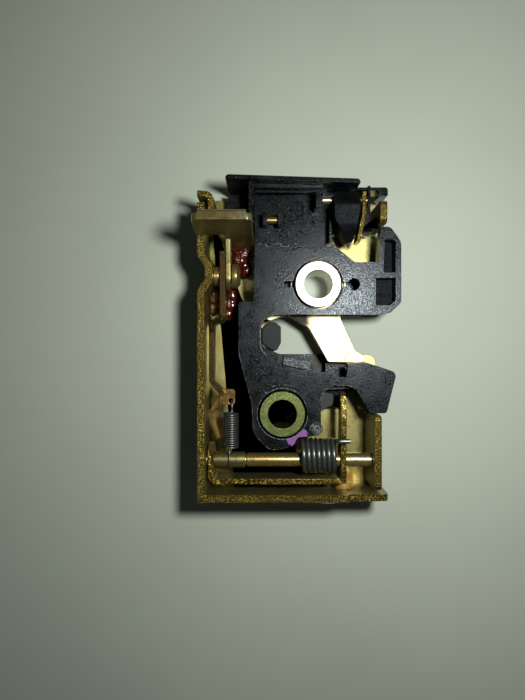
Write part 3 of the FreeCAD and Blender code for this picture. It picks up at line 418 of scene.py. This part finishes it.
def zinc_finish(name, main, bloom, stain, roughness, metallic=0.85, shade_at=None, shade_reach=0):
    """A passivated zinc coat in three tones, with a black patch of painted shade if one is asked for."""
    material, tree, shader, coordinates = new_material(name, Metallic=metallic)
    inputs = {"Vector": coordinates, "Main colour": main, "Bloom colour": bloom, "Stain colour": stain}
    coat = use_group(tree, bloom_group, inputs)
    colour = coat["Colour"]
    if shade_at:
        inputs = {
            "Vector": coordinates,
            "Centre": [value * MM for value in shade_at],
            "Reach": shade_reach * MM,
            "Raggedness": SHADE_RAGGED * MM,
        }
        colour = blend(tree, use_group(tree, dab_group, inputs)["Mask"], colour, SHADE_BLACK)
    tree.links.new(colour, shader.inputs["Base Color"])
    rough = between(tree, coat["Cloud"], 0.0, 1.0, roughness - 0.06, roughness + 0.12)
    tree.links.new(rough, shader.inputs["Roughness"])
    bumped(tree, shader, coat["Cloud"], 0.25, 0.02)
    return material


zinc_sheet = zinc_finish("zinc sheet", *SHEET_COLOURS, 0.32)
# The tray's dab is a black patch of painted shade in the dark gap under the claw's arm.
zinc_tray = zinc_finish("zinc tray", *SHEET_COLOURS, 0.32, shade_at=(-0.4, -23.3, 2.0), shade_reach=5.5)
zinc_hem = zinc_finish(
    "zinc hem", (0.34, 0.28, 0.11, 1), (0.40, 0.37, 0.20, 1), (0.16, 0.10, 0.03, 1), 0.26
)
zinc_gold = zinc_finish(
    "zinc gold", (0.42, 0.32, 0.11, 1), (0.46, 0.40, 0.20, 1), (0.22, 0.14, 0.04, 1), 0.26
)
zinc_pale_highlight = zinc_finish(
    "zinc pale highlight", (0.80, 0.79, 0.72, 1), (0.84, 0.84, 0.79, 1), (0.60, 0.55, 0.40, 1), 0.40
)
heat_brown = zinc_finish(
    "heat brown", (0.42, 0.25, 0.06, 1), (0.24, 0.14, 0.04, 1), (0.52, 0.38, 0.12, 1), 0.28
)


def sheared_finish(name, gold, ground, fineness=2.5, amount=0.62):
    """The cut edge of a sheet: bright grains on a darker torn ground."""
    material, tree, shader, coordinates = new_material(name, Metallic=0.9)
    inputs = {"Vector": coordinates, "Grains per mm": fineness, "Amount": amount}
    grain = use_group(tree, speckle_group, inputs)["Mask"]
    tone = between(tree, noise(tree, coordinates, 3.0, detail=3), 0.35, 0.65)
    warm = blend(tree, tone, gold, [channel * 0.7 for channel in gold[:3]] + [1])
    tree.links.new(blend(tree, grain, ground, warm), shader.inputs["Base Color"])
    tree.links.new(between(tree, grain, 0.0, 1.0, 0.42, 0.28), shader.inputs["Roughness"])
    bumped(tree, shader, grain, 0.7, 0.06)
    return material


sheared_gold = sheared_finish("sheared gold", (0.70, 0.53, 0.10, 1), (0.035, 0.024, 0.004, 1))
sheared_dark = sheared_finish("sheared dark", (0.42, 0.29, 0.09, 1), (0.030, 0.018, 0.006, 1), amount=0.5)
sheared_bright = sheared_finish(
    "sheared bright", (0.42, 0.30, 0.09, 1), (0.15, 0.10, 0.03, 1), amount=0.75
)
ring_green_shaded = sheared_finish(
    "ring green shaded", (0.24, 0.29, 0.10, 1), (0.10, 0.125, 0.04, 1), fineness=2.6, amount=0.8
)

# %% [markdown]
# ### Dark steel
#
# The pawl is phosphated: a matt grey-black crystal coat. The big rivet is drawn a lighter grey: painted
# light that lifts it out of the shadow below the bottom wall. The springs are bare oil-tempered wire, so
# they are smoother and show a thin bright line along each turn.

# %% Dark steel finishes


def dark_steel(name, base, pale, roughness, metallic=0.8):
    """Blackened steel with a fine crystalline unevenness."""
    material, tree, shader, coordinates = new_material(name, Metallic=metallic)
    crystals = noise(tree, coordinates, 0.5, detail=4, roughness=0.7)
    mask = between(tree, crystals, 0.35, 0.7)
    tree.links.new(blend(tree, mask, base, pale), shader.inputs["Base Color"])
    rough = between(tree, mask, 0, 1, roughness - 0.05, roughness + 0.12)
    tree.links.new(rough, shader.inputs["Roughness"])
    bumped(tree, shader, crystals, 0.2, 0.015)
    return material


phosphate = dark_steel(
    "phosphated steel", (0.016, 0.017, 0.019, 1), (0.035, 0.037, 0.04, 1), 0.55, metallic=0.5
)
rivet_steel_lit = dark_steel("rivet steel lit", (0.16, 0.15, 0.14, 1), (0.30, 0.29, 0.27, 1), 0.26)
spring_wire = dark_steel("spring wire", (0.11, 0.125, 0.115, 1), (0.20, 0.215, 0.20, 1), 0.30)

# %% [markdown]
# ### Black moulding
#
# The housings are black acetal with a film of grease. The plastic itself is nearly black; what the
# eye sees is gloss, broken by a fine leathery texture, pale rub marks and specks of dust in the grease.
# A dab of purple paint beside the lower bush is the assembler's check mark. It is painted by a mask:
# the distance from a point, made ragged by noise.

# %% Moulding finishes
PAINT_AT = (-5.9, -43.7, 17.0)
PAINT_REACH = 3.0
PAINT_RAGGED = 2.6
PAINT_PURPLE = (0.25, 0.10, 0.33, 1)
PAINT_ROUGHNESS = 0.55
COLD_SHEEN = (0.80, 0.91, 1.0, 1)
LEATHER_GRAIN = 0.5
LEATHER_DEPTH = 0.055
PIT_GRAIN = 0.45


def moulding_finish(name, rub_amount, dust_amount, roughness, gloss=0.20, painted=False):
    """Black acetal with leathery gloss, rub marks and dust."""
    material, tree, shader, coordinates = new_material(name, Specular_IOR_Level=gloss)
    shader.inputs["Specular Tint"].default_value = COLD_SHEEN
    rub = use_group(tree, rub_group, {"Vector": coordinates, "Amount": rub_amount})["Mask"]
    dust = use_group(
        tree, speckle_group, {"Vector": coordinates, "Grains per mm": 2.2, "Amount": dust_amount}
    )["Mask"]
    leather = noise(tree, coordinates, LEATHER_GRAIN, detail=3, roughness=0.6)
    smears = between(tree, noise(tree, coordinates, 5.0, detail=3, distortion=1.0), 0.35, 0.7)
    black = blend(tree, smears, (0.003, 0.0035, 0.004, 1), (0.008, 0.009, 0.010, 1))
    rubbed = blend(tree, rub, black, (0.06, 0.07, 0.078, 1))
    dusted = blend(tree, maths(tree, "MULTIPLY", dust, 0.8), rubbed, (0.34, 0.36, 0.36, 1))
    rough = between(tree, smears, 0, 1, roughness - 0.03, roughness + 0.08)
    pits = between(tree, noise(tree, coordinates, PIT_GRAIN, detail=2), 0.48, 0.62, 0.0, 0.22)
    rough = maths(tree, "ADD", rough, pits)
    if painted:
        inputs = {
            "Vector": coordinates,
            "Centre": [value * MM for value in PAINT_AT],
            "Reach": PAINT_REACH * MM,
            "Raggedness": PAINT_RAGGED * MM,
        }
        paint = use_group(tree, dab_group, inputs)["Mask"]
        dusted = blend(tree, paint, dusted, PAINT_PURPLE)
        inputs = {"Value": paint, "To Min": rough, "To Max": PAINT_ROUGHNESS}
        rough = add(tree, "ShaderNodeMapRange", inputs).outputs["Result"]
    tree.links.new(dusted, shader.inputs["Base Color"])
    tree.links.new(rough, shader.inputs["Roughness"])
    bumped(tree, shader, leather, 1.0, LEATHER_DEPTH)
    return material


cover_black = moulding_finish("cover black", 0.8, 0.12, 0.17, painted=True)
inner_black = moulding_finish("inner black", 0.35, 0.26, 0.15)
worn_and_lit_edge = moulding_finish("worn and lit edge", 1.0, 0.75, 0.26, gloss=0.5)
matt_shade_black = moulding_finish("matt shade black", 0.3, 0.15, 0.38, gloss=0.04)
frost_and_highlight_black = moulding_finish("frost_and_highlight black", 0.6, 0.66, 0.3, gloss=0.3)

# %% [markdown]
# ### The claw's own finish
#
# The claw's zinc is paler and duller than the tray's. Round its bush, on the side away from the throat,
# its face is painted black: painted shade, where the claw lies dark in the slot under the cover. A radial
# mask about the pivot paints it, and it turns with the claw.

# %% Claw finish
HUB_REACH = 12.5
HUB_RIM = 1
SHADE_FROM_X = -1
SHADE_TO_X = -3

claw_finish, tree, shader, coordinates = new_material("claw bright", Metallic=0.85)
inputs = {
    "Vector": coordinates,
    "Main colour": (0.50, 0.43, 0.25, 1),
    "Bloom colour": (0.56, 0.51, 0.35, 1),
    "Stain colour": (0.36, 0.26, 0.09, 1),
}
coat = use_group(tree, bloom_group, inputs)
flat = add(tree, "ShaderNodeVectorMath", {0: coordinates, 1: (1, 1, 0)}, operation="MULTIPLY").outputs[0]
hub_distance = add(tree, "ShaderNodeVectorMath", {0: flat}, operation="LENGTH").outputs["Value"]
near_hub = between(tree, hub_distance, (HUB_REACH - HUB_RIM) * MM, HUB_REACH * MM, 1.0, 0.0)
side = add(tree, "ShaderNodeSeparateXYZ", {0: coordinates}).outputs["X"]
left_side = between(tree, side, SHADE_TO_X * MM, SHADE_FROM_X * MM, 1.0, 0.0)
# Painted shade: the claw's face near the hub, away from the throat, is blended to black.
hub_shade = maths(tree, "MULTIPLY", near_hub, left_side)
tree.links.new(blend(tree, hub_shade, coat["Colour"], SHADE_BLACK), shader.inputs["Base Color"])
tree.links.new(between(tree, coat["Cloud"], 0.0, 1.0, 0.42, 0.54), shader.inputs["Roughness"])
bumped(tree, shader, coat["Cloud"], 0.25, 0.02)

# %% [markdown]
# ### Rubber and grease
#
# The striker bumper is dark grey rubber, and the little stop in the bottom wall is amber. Grease is the
# glossiest thing on the latch: dark red where it is thick, orange where the metal shines through.

# %% Rubber and grease finishes


def rubber_finish(name, base, pale, roughness, gloss=0.5):
    """A soft satin surface with a fine mottle."""
    material, tree, shader, coordinates = new_material(name, Specular_IOR_Level=gloss)
    mottle = noise(tree, coordinates, 1.0, detail=4, roughness=0.6)
    mask = between(tree, mottle, 0.35, 0.65)
    tree.links.new(blend(tree, mask, base, pale), shader.inputs["Base Color"])
    tree.links.new(between(tree, mask, 0, 1, roughness, roughness + 0.1), shader.inputs["Roughness"])
    bumped(tree, shader, mottle, 0.2, 0.03)
    return material


bumper_rubber = rubber_finish(
    "bumper rubber", (0.013, 0.017, 0.020, 1), (0.024, 0.030, 0.034, 1), 0.42, gloss=0.12
)
amber_rubber = rubber_finish("amber rubber", (0.26, 0.14, 0.02, 1), (0.42, 0.27, 0.06, 1), 0.26)
grease_red = rubber_finish("red grease", (0.012, 0.001, 0.0006, 1), (0.085, 0.007, 0.002, 1), 0.06)
grease_amber = rubber_finish("amber grease", (0.14, 0.03, 0.004, 1), (0.26, 0.10, 0.02, 1), 0.1)
print("materials:", len(bpy.data.materials))

# %% [markdown]
# ## Dressing the solids
#
# CAD solids have knife-sharp edges, and real ones never do: a pressed edge is rolled over, a moulded
# one has a radius, and that thin rounded line is what catches the light. So each solid is copied, its
# loose triangles are merged, and its flat faces are made whole again. A Bevel modifier then rounds
# every edge sharper than a given angle. The copy stands in for the solid from then on.

# %% Copy, merge and bevel
SAME_POINT = 0.002
SAME_FLAT_DEGREES = 0.8
SMOOTH_DEGREES = 36


def tell(piece):
    """Print a piece's face count and the millimetres that it spans."""
    low = [round(min(corner[axis] for corner in piece.bound_box) / MM, 1) for axis in range(3)]
    high = [round(max(corner[axis] for corner in piece.bound_box) / MM, 1) for axis in range(3)]
    print(piece.name, "faces:", len(piece.data.polygons), "from", low, "to", high)


def mark_sharp_edges(piece, angle, shortest):
    """Give bevel weight to every edge sharper than the angle, away from edges too short to round."""
    short_ends = set()
    for edge in piece.data.edges:
        ends = [piece.data.vertices[index].co for index in edge.vertices]
        if (ends[0] - ends[1]).length < shortest * MM:
            short_ends.update(edge.vertices)
    pick(piece)
    bpy.context.tool_settings.mesh_select_mode = (False, True, False)
    bpy.ops.object.mode_set(mode="EDIT")
    bpy.ops.mesh.select_all(action="DESELECT")
    bpy.ops.mesh.edges_select_sharp(sharpness=math.radians(angle))
    bpy.ops.object.mode_set(mode="OBJECT")
    for edge in piece.data.edges:
        if short_ends.intersection(edge.vertices):
            edge.select = False
    bpy.ops.object.mode_set(mode="EDIT")
    bpy.ops.transform.edge_bevelweight(value=1.0)
    bpy.ops.object.mode_set(mode="OBJECT")


def dressed(node, body, finish, bevel=0.2, angle=38, segments=3, shortest=0.0):
    """A copy of the CAD node with rounded edges, which stands for it in the picture."""
    pick(frame["nodes"][node])
    bpy.ops.object.duplicate()
    piece = bpy.context.object
    bpy.ops.object.parent_clear(type="CLEAR_KEEP_TRANSFORM")
    piece.name = node + "_dressed"
    piece.data.name = piece.name
    del piece["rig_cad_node"]
    bpy.ops.mesh.customdata_custom_splitnormals_clear()
    bpy.ops.object.mode_set(mode="EDIT")
    bpy.ops.mesh.select_all(action="SELECT")
    bpy.ops.mesh.remove_doubles(threshold=SAME_POINT * MM)
    bpy.ops.mesh.dissolve_limited(angle_limit=math.radians(SAME_FLAT_DEGREES))
    bpy.ops.object.mode_set(mode="OBJECT")
    mark_sharp_edges(piece, angle, shortest)
    rounding = piece.modifiers.new("rounded edges", "BEVEL")
    rounding.width = bevel * MM
    rounding.segments = segments
    rounding.limit_method = "WEIGHT"
    rounding.use_clamp_overlap = False
    rounding.miter_outer = "MITER_ARC"
    bpy.ops.object.modifier_apply(modifier=rounding.name)
    bpy.ops.object.shade_smooth_by_angle(angle=math.radians(SMOOTH_DEGREES))
    weights = piece.modifiers.new("flat faces stay flat", "WEIGHTED_NORMAL")
    weights.keep_sharp = True
    bpy.ops.object.modifier_apply(modifier=weights.name)
    piece.data.materials.clear()
    piece.data.materials.append(finish)
    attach(piece, body)
    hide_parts(node)
    tell(piece)
    return piece


def second_finish(piece, finish, test):
    """Give the faces that pass the test another finish."""
    piece.data.materials.append(finish)
    edit_faces(piece, test)
    piece.active_material_index = len(piece.data.materials) - 1
    bpy.ops.object.material_slot_assign()
    bpy.ops.object.mode_set(mode="OBJECT")


# %% [markdown]
# ### The tray
#
# Seen from above, the walls of the tray show only their sheared top edges, so those faces get the
# grainy finish and the rest of the tray the smooth coat.

# %% Tray
WALL_TOP_Z = 15

tray = dressed("base_frame", "frame", zinc_tray, bevel=0.18, shortest=0.21)
second_finish(tray, sheared_gold, lambda place, normal: place.z > WALL_TOP_Z and normal.z > 0.8)

# %% [markdown]
# ### The housings
#
# Three mouldings make the black body: the cover, the sunken recess and the floor under the moving
# plates. The lower moulding's band beside the throat is frosted with wear, and its heat-staked post
# comes up through the cover with a speckled head.

# %% Housings
STAKE_AT = Vector((-0.6, -41.2, 0))
STAKE_REACH = 2.2
COVER_EDGE_Z = 16.5
COVER_TOP_Z = 16.75

cover = dressed("upper_housing", "frame", cover_black, bevel=0.18, shortest=0.36)
second_finish(cover, inner_black, lambda place, normal: place.z < COVER_EDGE_Z)
# The cover's rounded top edges get the pale, glossier edge finish: partly real wear, partly a painted
# highlight along the edges.
second_finish(cover, worn_and_lit_edge, lambda place, normal: place.z > COVER_TOP_Z and 0.2 < normal.z < 0.97)
# The tops of the teeth along the recess get the pale frosted finish: a painted highlight, the dotted line
# of light along the teeth.
second_finish(
    cover,
    frost_and_highlight_black,
    lambda place, normal: normal.z > 0.8 and place.z < 16.9 and 10.6 < place.y < 13,
)
# The floors of the guard's pockets get the dull matt black so that they read dark: painted shade in the
# pockets.
second_finish(
    cover,
    matt_shade_black,
    lambda place, normal: place.z < COVER_EDGE_Z and normal.z > 0.8 and place.x > 14,
)
dressed("recess_housing", "frame", inner_black, bevel=0.12, shortest=0.14)
floor_moulding = dressed("lower_housing", "frame", inner_black, bevel=0.12)
second_finish(
    floor_moulding,
    frost_and_highlight_black,
    lambda place, normal: 7.2 < place.z < 9
    or (place.z > 16 and (place.xy - STAKE_AT.xy).length < STAKE_REACH),
)
dressed("striker_bumper", "frame", bumper_rubber, bevel=0.3)

# %% [markdown]
# ### Claw, pawl and bushes
#
# The claw is blanked from 4 mm plate: its faces are bright, and its cut sides are darker and grainy.

# %% Moving plates and bushes
claw = dressed("fork", "fork", claw_finish, bevel=0.2)
second_finish(claw, sheared_bright, lambda place, normal: abs(normal.z) < 0.5)
dressed("pawl", "pawl", phosphate, bevel=0.2)
# The upper bush is drawn near-white as a painted highlight; the lower bush is the same metal drawn darker
# and greener, as painted shade.
dressed("fork_bush", "frame", zinc_pale_highlight, bevel=0.12)
dressed("pawl_bush", "frame", ring_green_shaded, bevel=0.12)

# %% [markdown]
# ### Levers, link and pins
#
# The levers are cut from sheet like the tray, so their upward faces are mostly sheared edges and get the
# grainy finish, picked by the direction that each face looks in. The pins are turned, and stay smooth.

# %% Levers, link and pins
UPWARD = 0.7
LINK_TAB_Y = -30.5
HEM_Z = 32
ROD_HEAD_X = -20.9

yoke = dressed("outside_lever", "outside_lever", zinc_sheet, bevel=0.25)
second_finish(yoke, sheared_gold, lambda place, normal: normal.z > UPWARD)
link = dressed("side_link", "side_link", zinc_sheet, bevel=0.12)
second_finish(link, sheared_dark, lambda place, normal: normal.z > UPWARD)
second_finish(link, heat_brown, lambda place, normal: place.y < LINK_TAB_Y)
tab = dressed("inside_lever", "inside_lever", zinc_sheet, bevel=0.18)
second_finish(tab, zinc_hem, lambda place, normal: place.z > HEM_Z)
axle = dressed("pivot_rod", "frame", zinc_gold, bevel=0.1)
second_finish(axle, zinc_sheet, lambda place, normal: place.x < ROD_HEAD_X)
dressed("lever_rivet", "frame", zinc_gold, bevel=0.2)
dressed("lock_pin", "frame", zinc_gold, bevel=0.15)
dressed("link_pin", "frame", zinc_gold, bevel=0.15)
# The lock lever is drawn in matt black: painted shade, standing for the shaded left face of a zinc plate
# whose lit edge is the gold strip behind it.
dressed("lock_lever", "lock", matt_shade_black, bevel=0.12)
lock_strip = dressed("lock_plate", "lock", zinc_sheet, bevel=0.15)
second_finish(lock_strip, sheared_gold, lambda place, normal: normal.z > UPWARD)
# The wall rivet's lighter grey is painted light, lifting it out of the shadow it sits in.
dressed("wall_rivet", "frame", rivet_steel_lit, bevel=0.25)
dressed("lever_stop", "frame", amber_rubber, bevel=0.12)

# %% [markdown]
# ## Springs
#
# A spring is one round wire. It is modelled as a pipe-bender would: start with a circle for the
# wire's section, extrude it for a straight run, and spin it about an axis for a bend. A winding is the
# same spin in small steps, with a small push along the axis after each.

# %% Bend a wire
wire = {"at": Vector(), "heading": Vector()}


def start_wire(name, at, heading, radius, sides=10):
    """A circle across the wire's first heading, in edit mode with its edges selected."""
    bpy.ops.object.select_all(action="DESELECT")
    bpy.context.tool_settings.mesh_select_mode = (False, True, False)
    wire["at"] = Vector(at)
    wire["heading"] = Vector(heading).normalized()
    turn = wire["heading"].to_track_quat("Z", "Y").to_euler()
    bpy.ops.mesh.primitive_circle_add(
        vertices=sides, radius=radius * MM, location=wire["at"] * MM, rotation=turn
    )
    piece = bpy.context.object
    piece.name = name
    piece.data.name = name
    bpy.ops.object.transform_apply(location=True, rotation=True, scale=True)
    bpy.ops.object.mode_set(mode="EDIT")
    bpy.ops.mesh.select_all(action="SELECT")
    return piece


def go(length):
    """Carry the wire straight on."""
    step = wire["heading"] * length
    bpy.ops.mesh.extrude_edges_move(TRANSFORM_OT_translate={"value": step * MM})
    wire["at"] = wire["at"] + step


def arc(radius, degrees, axis, advance=0.0, steps_per_turn=32):
    """Carry the wire round an axis on its left-hand side, with an advance along the axis."""
    axis = Vector(axis).normalized()
    centre = wire["at"] + axis.cross(wire["heading"]) * radius
    steps = max(3, round(steps_per_turn * degrees / 360))
    push = axis * advance / steps
    for _ in range(steps):
        bpy.ops.mesh.spin(
            steps=1,
            dupli=False,
            use_auto_merge=False,
            angle=-math.radians(degrees / steps),
            center=centre * MM,
            axis=axis,
        )
        if advance:
            bpy.ops.transform.translate(value=push * MM)
            centre = centre + push
    turn = Matrix.Rotation(math.radians(degrees), 3, axis)
    wire["at"] = centre + turn @ (wire["at"] + push * steps - centre)
    wire["heading"] = turn @ wire["heading"]


def end_wire(piece, finish, node):
    """Close both ends, turn the faces outward, and let the piece stand for its solid."""
    bpy.ops.mesh.select_all(action="SELECT")
    bpy.ops.mesh.fill_holes(sides=0)
    bpy.ops.mesh.select_all(action="SELECT")
    bpy.ops.mesh.normals_make_consistent(inside=False)
    bpy.ops.object.mode_set(mode="OBJECT")
    bpy.ops.object.shade_smooth_by_angle(angle=math.radians(50))
    piece.data.materials.append(finish)
    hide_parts(node)
    tell(piece)


# %% [markdown]
# ### The return spring on the rod
#
# Seven turns of thick wire sit on the pivot rod. One leg runs down beside it, and the other rises and
# hooks over the release lever's arm. The turns wind up as that lever lifts the hook.

# %% Return spring
COIL_START = (-4.49, -44.8, 3.0)
COIL_AXIS_Z = 14.3
COIL_R = 4.4
COIL_WIRE_R = 0.7
COIL_PITCH = 1.42
COIL_TURNS = 7
HOOK_BEND = 1.1
HOOK_TOP = 17.0
HOOK_END_X = 9.15

coil = start_wire("return_spring_wire", COIL_START, (0, 0, 1), radius=COIL_WIRE_R, sides=12)
go(COIL_AXIS_Z - COIL_START[2])
arc(COIL_R, 360 * COIL_TURNS, (1, 0, 0), advance=COIL_PITCH * COIL_TURNS)
go(HOOK_TOP - HOOK_BEND - COIL_AXIS_Z)
arc(HOOK_BEND, 90, (0, 1, 0))
go(HOOK_END_X - wire["at"].x)
end_wire(coil, spring_wire, "return_spring")
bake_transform(coil)

# %% [markdown]
# ### The tension spring on the link's tab
#
# A close-wound spring of fine wire pulls the link's tab towards the rod. It starts as an open hook
# behind the rod, runs over it, winds fifteen turns and ends in an eye through the tab.

# %% Tension spring
ROD_Y = -50.5
ROD_Z = 14.0
PULL_X = -25.0
PULL_R = 2.0
PULL_WIRE_R = 0.31
PULL_TURNS = 15
PULL_PITCH = 0.665
PULL_LOW_Y = -46.85
HOOK_R = 2.9
HOOK_OPEN = 300
HOOK_LEAVES = 55
CORNER = 0.35
EYE_R = 1.3
EYE_Y = -34.7
EYE_TURN = 44
EYE_OPEN = 300

opening = math.radians(HOOK_OPEN)
hook_start = (
    PULL_X - CORNER,
    ROD_Y + HOOK_R * math.cos(opening),
    ROD_Z + HOOK_R * math.sin(opening),
)
hook_heading = (0, math.sin(opening), -math.cos(opening))
pull = start_wire("tension_spring_wire", hook_start, hook_heading, PULL_WIRE_R)
arc(HOOK_R, HOOK_OPEN - HOOK_LEAVES, (-1, 0, 0))
slope = 90 - HOOK_LEAVES
flatten_r = (wire["at"].z - ROD_Z - PULL_R) / (1 - math.cos(math.radians(slope)))
arc(flatten_r, slope, (1, 0, 0))
go(PULL_LOW_Y - CORNER - wire["at"].y)
arc(CORNER, 90, (0, 0, -1))
arc(PULL_R, 360 * PULL_TURNS, (0, 1, 0), advance=PULL_PITCH * PULL_TURNS, steps_per_turn=24)
arc(CORNER, 90, (0, 0, 1))
drop = PULL_R - EYE_R
ease_r = drop / 2 / (1 - math.cos(math.radians(EYE_TURN)))
arc(ease_r, EYE_TURN, (-1, 0, 0))
arc(ease_r, EYE_TURN, (1, 0, 0))
go(EYE_Y - wire["at"].y)
arc(EYE_R, EYE_OPEN, (-1, 0, 0))
end_wire(pull, spring_wire, "tension_spring")
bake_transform(pull)

# %% [markdown]
# ### The springs under the cover
#
# The claw and the pawl each have a wire spring round the bush, hidden by the cover but for a glimpse.

# %% Plate springs
PLATE_SPRING_R = 7.5
PLATE_WIRE_R = 0.45
PLATE_SPRING_LEG = 3.0
PLATE_SPRINGS = (("fork_spring", 0, 0, 100), ("pawl_spring", -10.2, -37.0, -140))

for node, centre_x, centre_y, leg_angle in PLATE_SPRINGS:
    low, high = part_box(node)
    angle = math.radians(leg_angle)
    outward = Vector((math.cos(angle), math.sin(angle), 0))
    heading = Vector((-math.sin(angle), math.cos(angle), 0))
    foot = Vector((centre_x, centre_y, low[2] / MM + PLATE_WIRE_R)) + outward * PLATE_SPRING_R
    rise = (high[2] - low[2]) / MM - 2 * PLATE_WIRE_R
    piece = start_wire(node + "_wire", foot - heading * PLATE_SPRING_LEG, heading, PLATE_WIRE_R)
    go(PLATE_SPRING_LEG)
    arc(PLATE_SPRING_R, 720, (0, 0, 1), advance=rise)
    go(PLATE_SPRING_LEG)
    end_wire(piece, spring_wire, node)
    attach(piece, "frame")

# %% [markdown]
# ## Grease
#
# Thick red grease sits where the link and the inner lever turn on the left rivet. Each dab starts as a
# few balls, which a remesh fuses into one blob with a skin; then the skin is roughened and smoothed.

# %% Dabs of grease
GREASE_VOXEL = 0.2
GREASE_ROUGH = 0.12


def dab(name, finish, balls):
    """One blob of grease from balls given by centre, and their radii along X, Y and Z."""
    parts = []
    for at, radii in balls:
        bpy.ops.object.select_all(action="DESELECT")
        place = [value * MM for value in at]
        bpy.ops.mesh.primitive_ico_sphere_add(subdivisions=3, radius=MM, location=place)
        ball = bpy.context.object
        ball.scale = radii
        bpy.ops.object.transform_apply(location=True, rotation=True, scale=True)
        parts.append(ball)
    for ball in parts:
        ball.select_set(True)
    bpy.context.view_layer.objects.active = parts[0]
    bpy.ops.object.join()
    blob = bpy.context.object
    blob.name = name
    blob.data.name = name
    pick(blob)
    blob.data.remesh_voxel_size = GREASE_VOXEL * MM
    bpy.ops.object.voxel_remesh()
    bpy.ops.object.mode_set(mode="EDIT")
    bpy.ops.mesh.select_all(action="SELECT")
    bpy.ops.transform.vertex_random(offset=GREASE_ROUGH * MM, uniform=0.0, normal=1.0, seed=7)
    bpy.ops.mesh.vertices_smooth(factor=0.5, repeat=4)
    bpy.ops.object.mode_set(mode="OBJECT")
    bpy.ops.object.shade_smooth()
    blob.data.materials.append(finish)
    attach(blob, "frame")
    tell(blob)


dab(
    "grease_upper",
    grease_red,
    [
        ((-23.8, 12.6, 8.8), (2.6, 2.4, 1.2)),
        ((-21.4, 11.0, 8.4), (2.4, 2.8, 1.0)),
        ((-22.6, 8.4, 8.4), (2.4, 2.6, 1.1)),
        ((-20.9, 5.6, 8.0), (1.9, 2.6, 0.9)),
    ],
)
dab(
    "grease_lower",
    grease_red,
    [
        ((-25.0, -2.2, 10.2), (1.5, 2.6, 0.9)),
        ((-25.3, -4.8, 9.9), (1.7, 3.0, 0.9)),
        ((-26.0, -8.0, 9.6), (1.2, 2.2, 0.8)),
    ],
)
dab(
    "grease_bead",
    grease_amber,
    [
        ((-30.6, 1.6, 8.0), (1.4, 3.0, 0.8)),
        ((-30.3, -2.6, 7.6), (1.6, 3.2, 0.8)),
        ((-30.6, -6.4, 7.4), (1.3, 2.4, 0.7)),
    ],
)
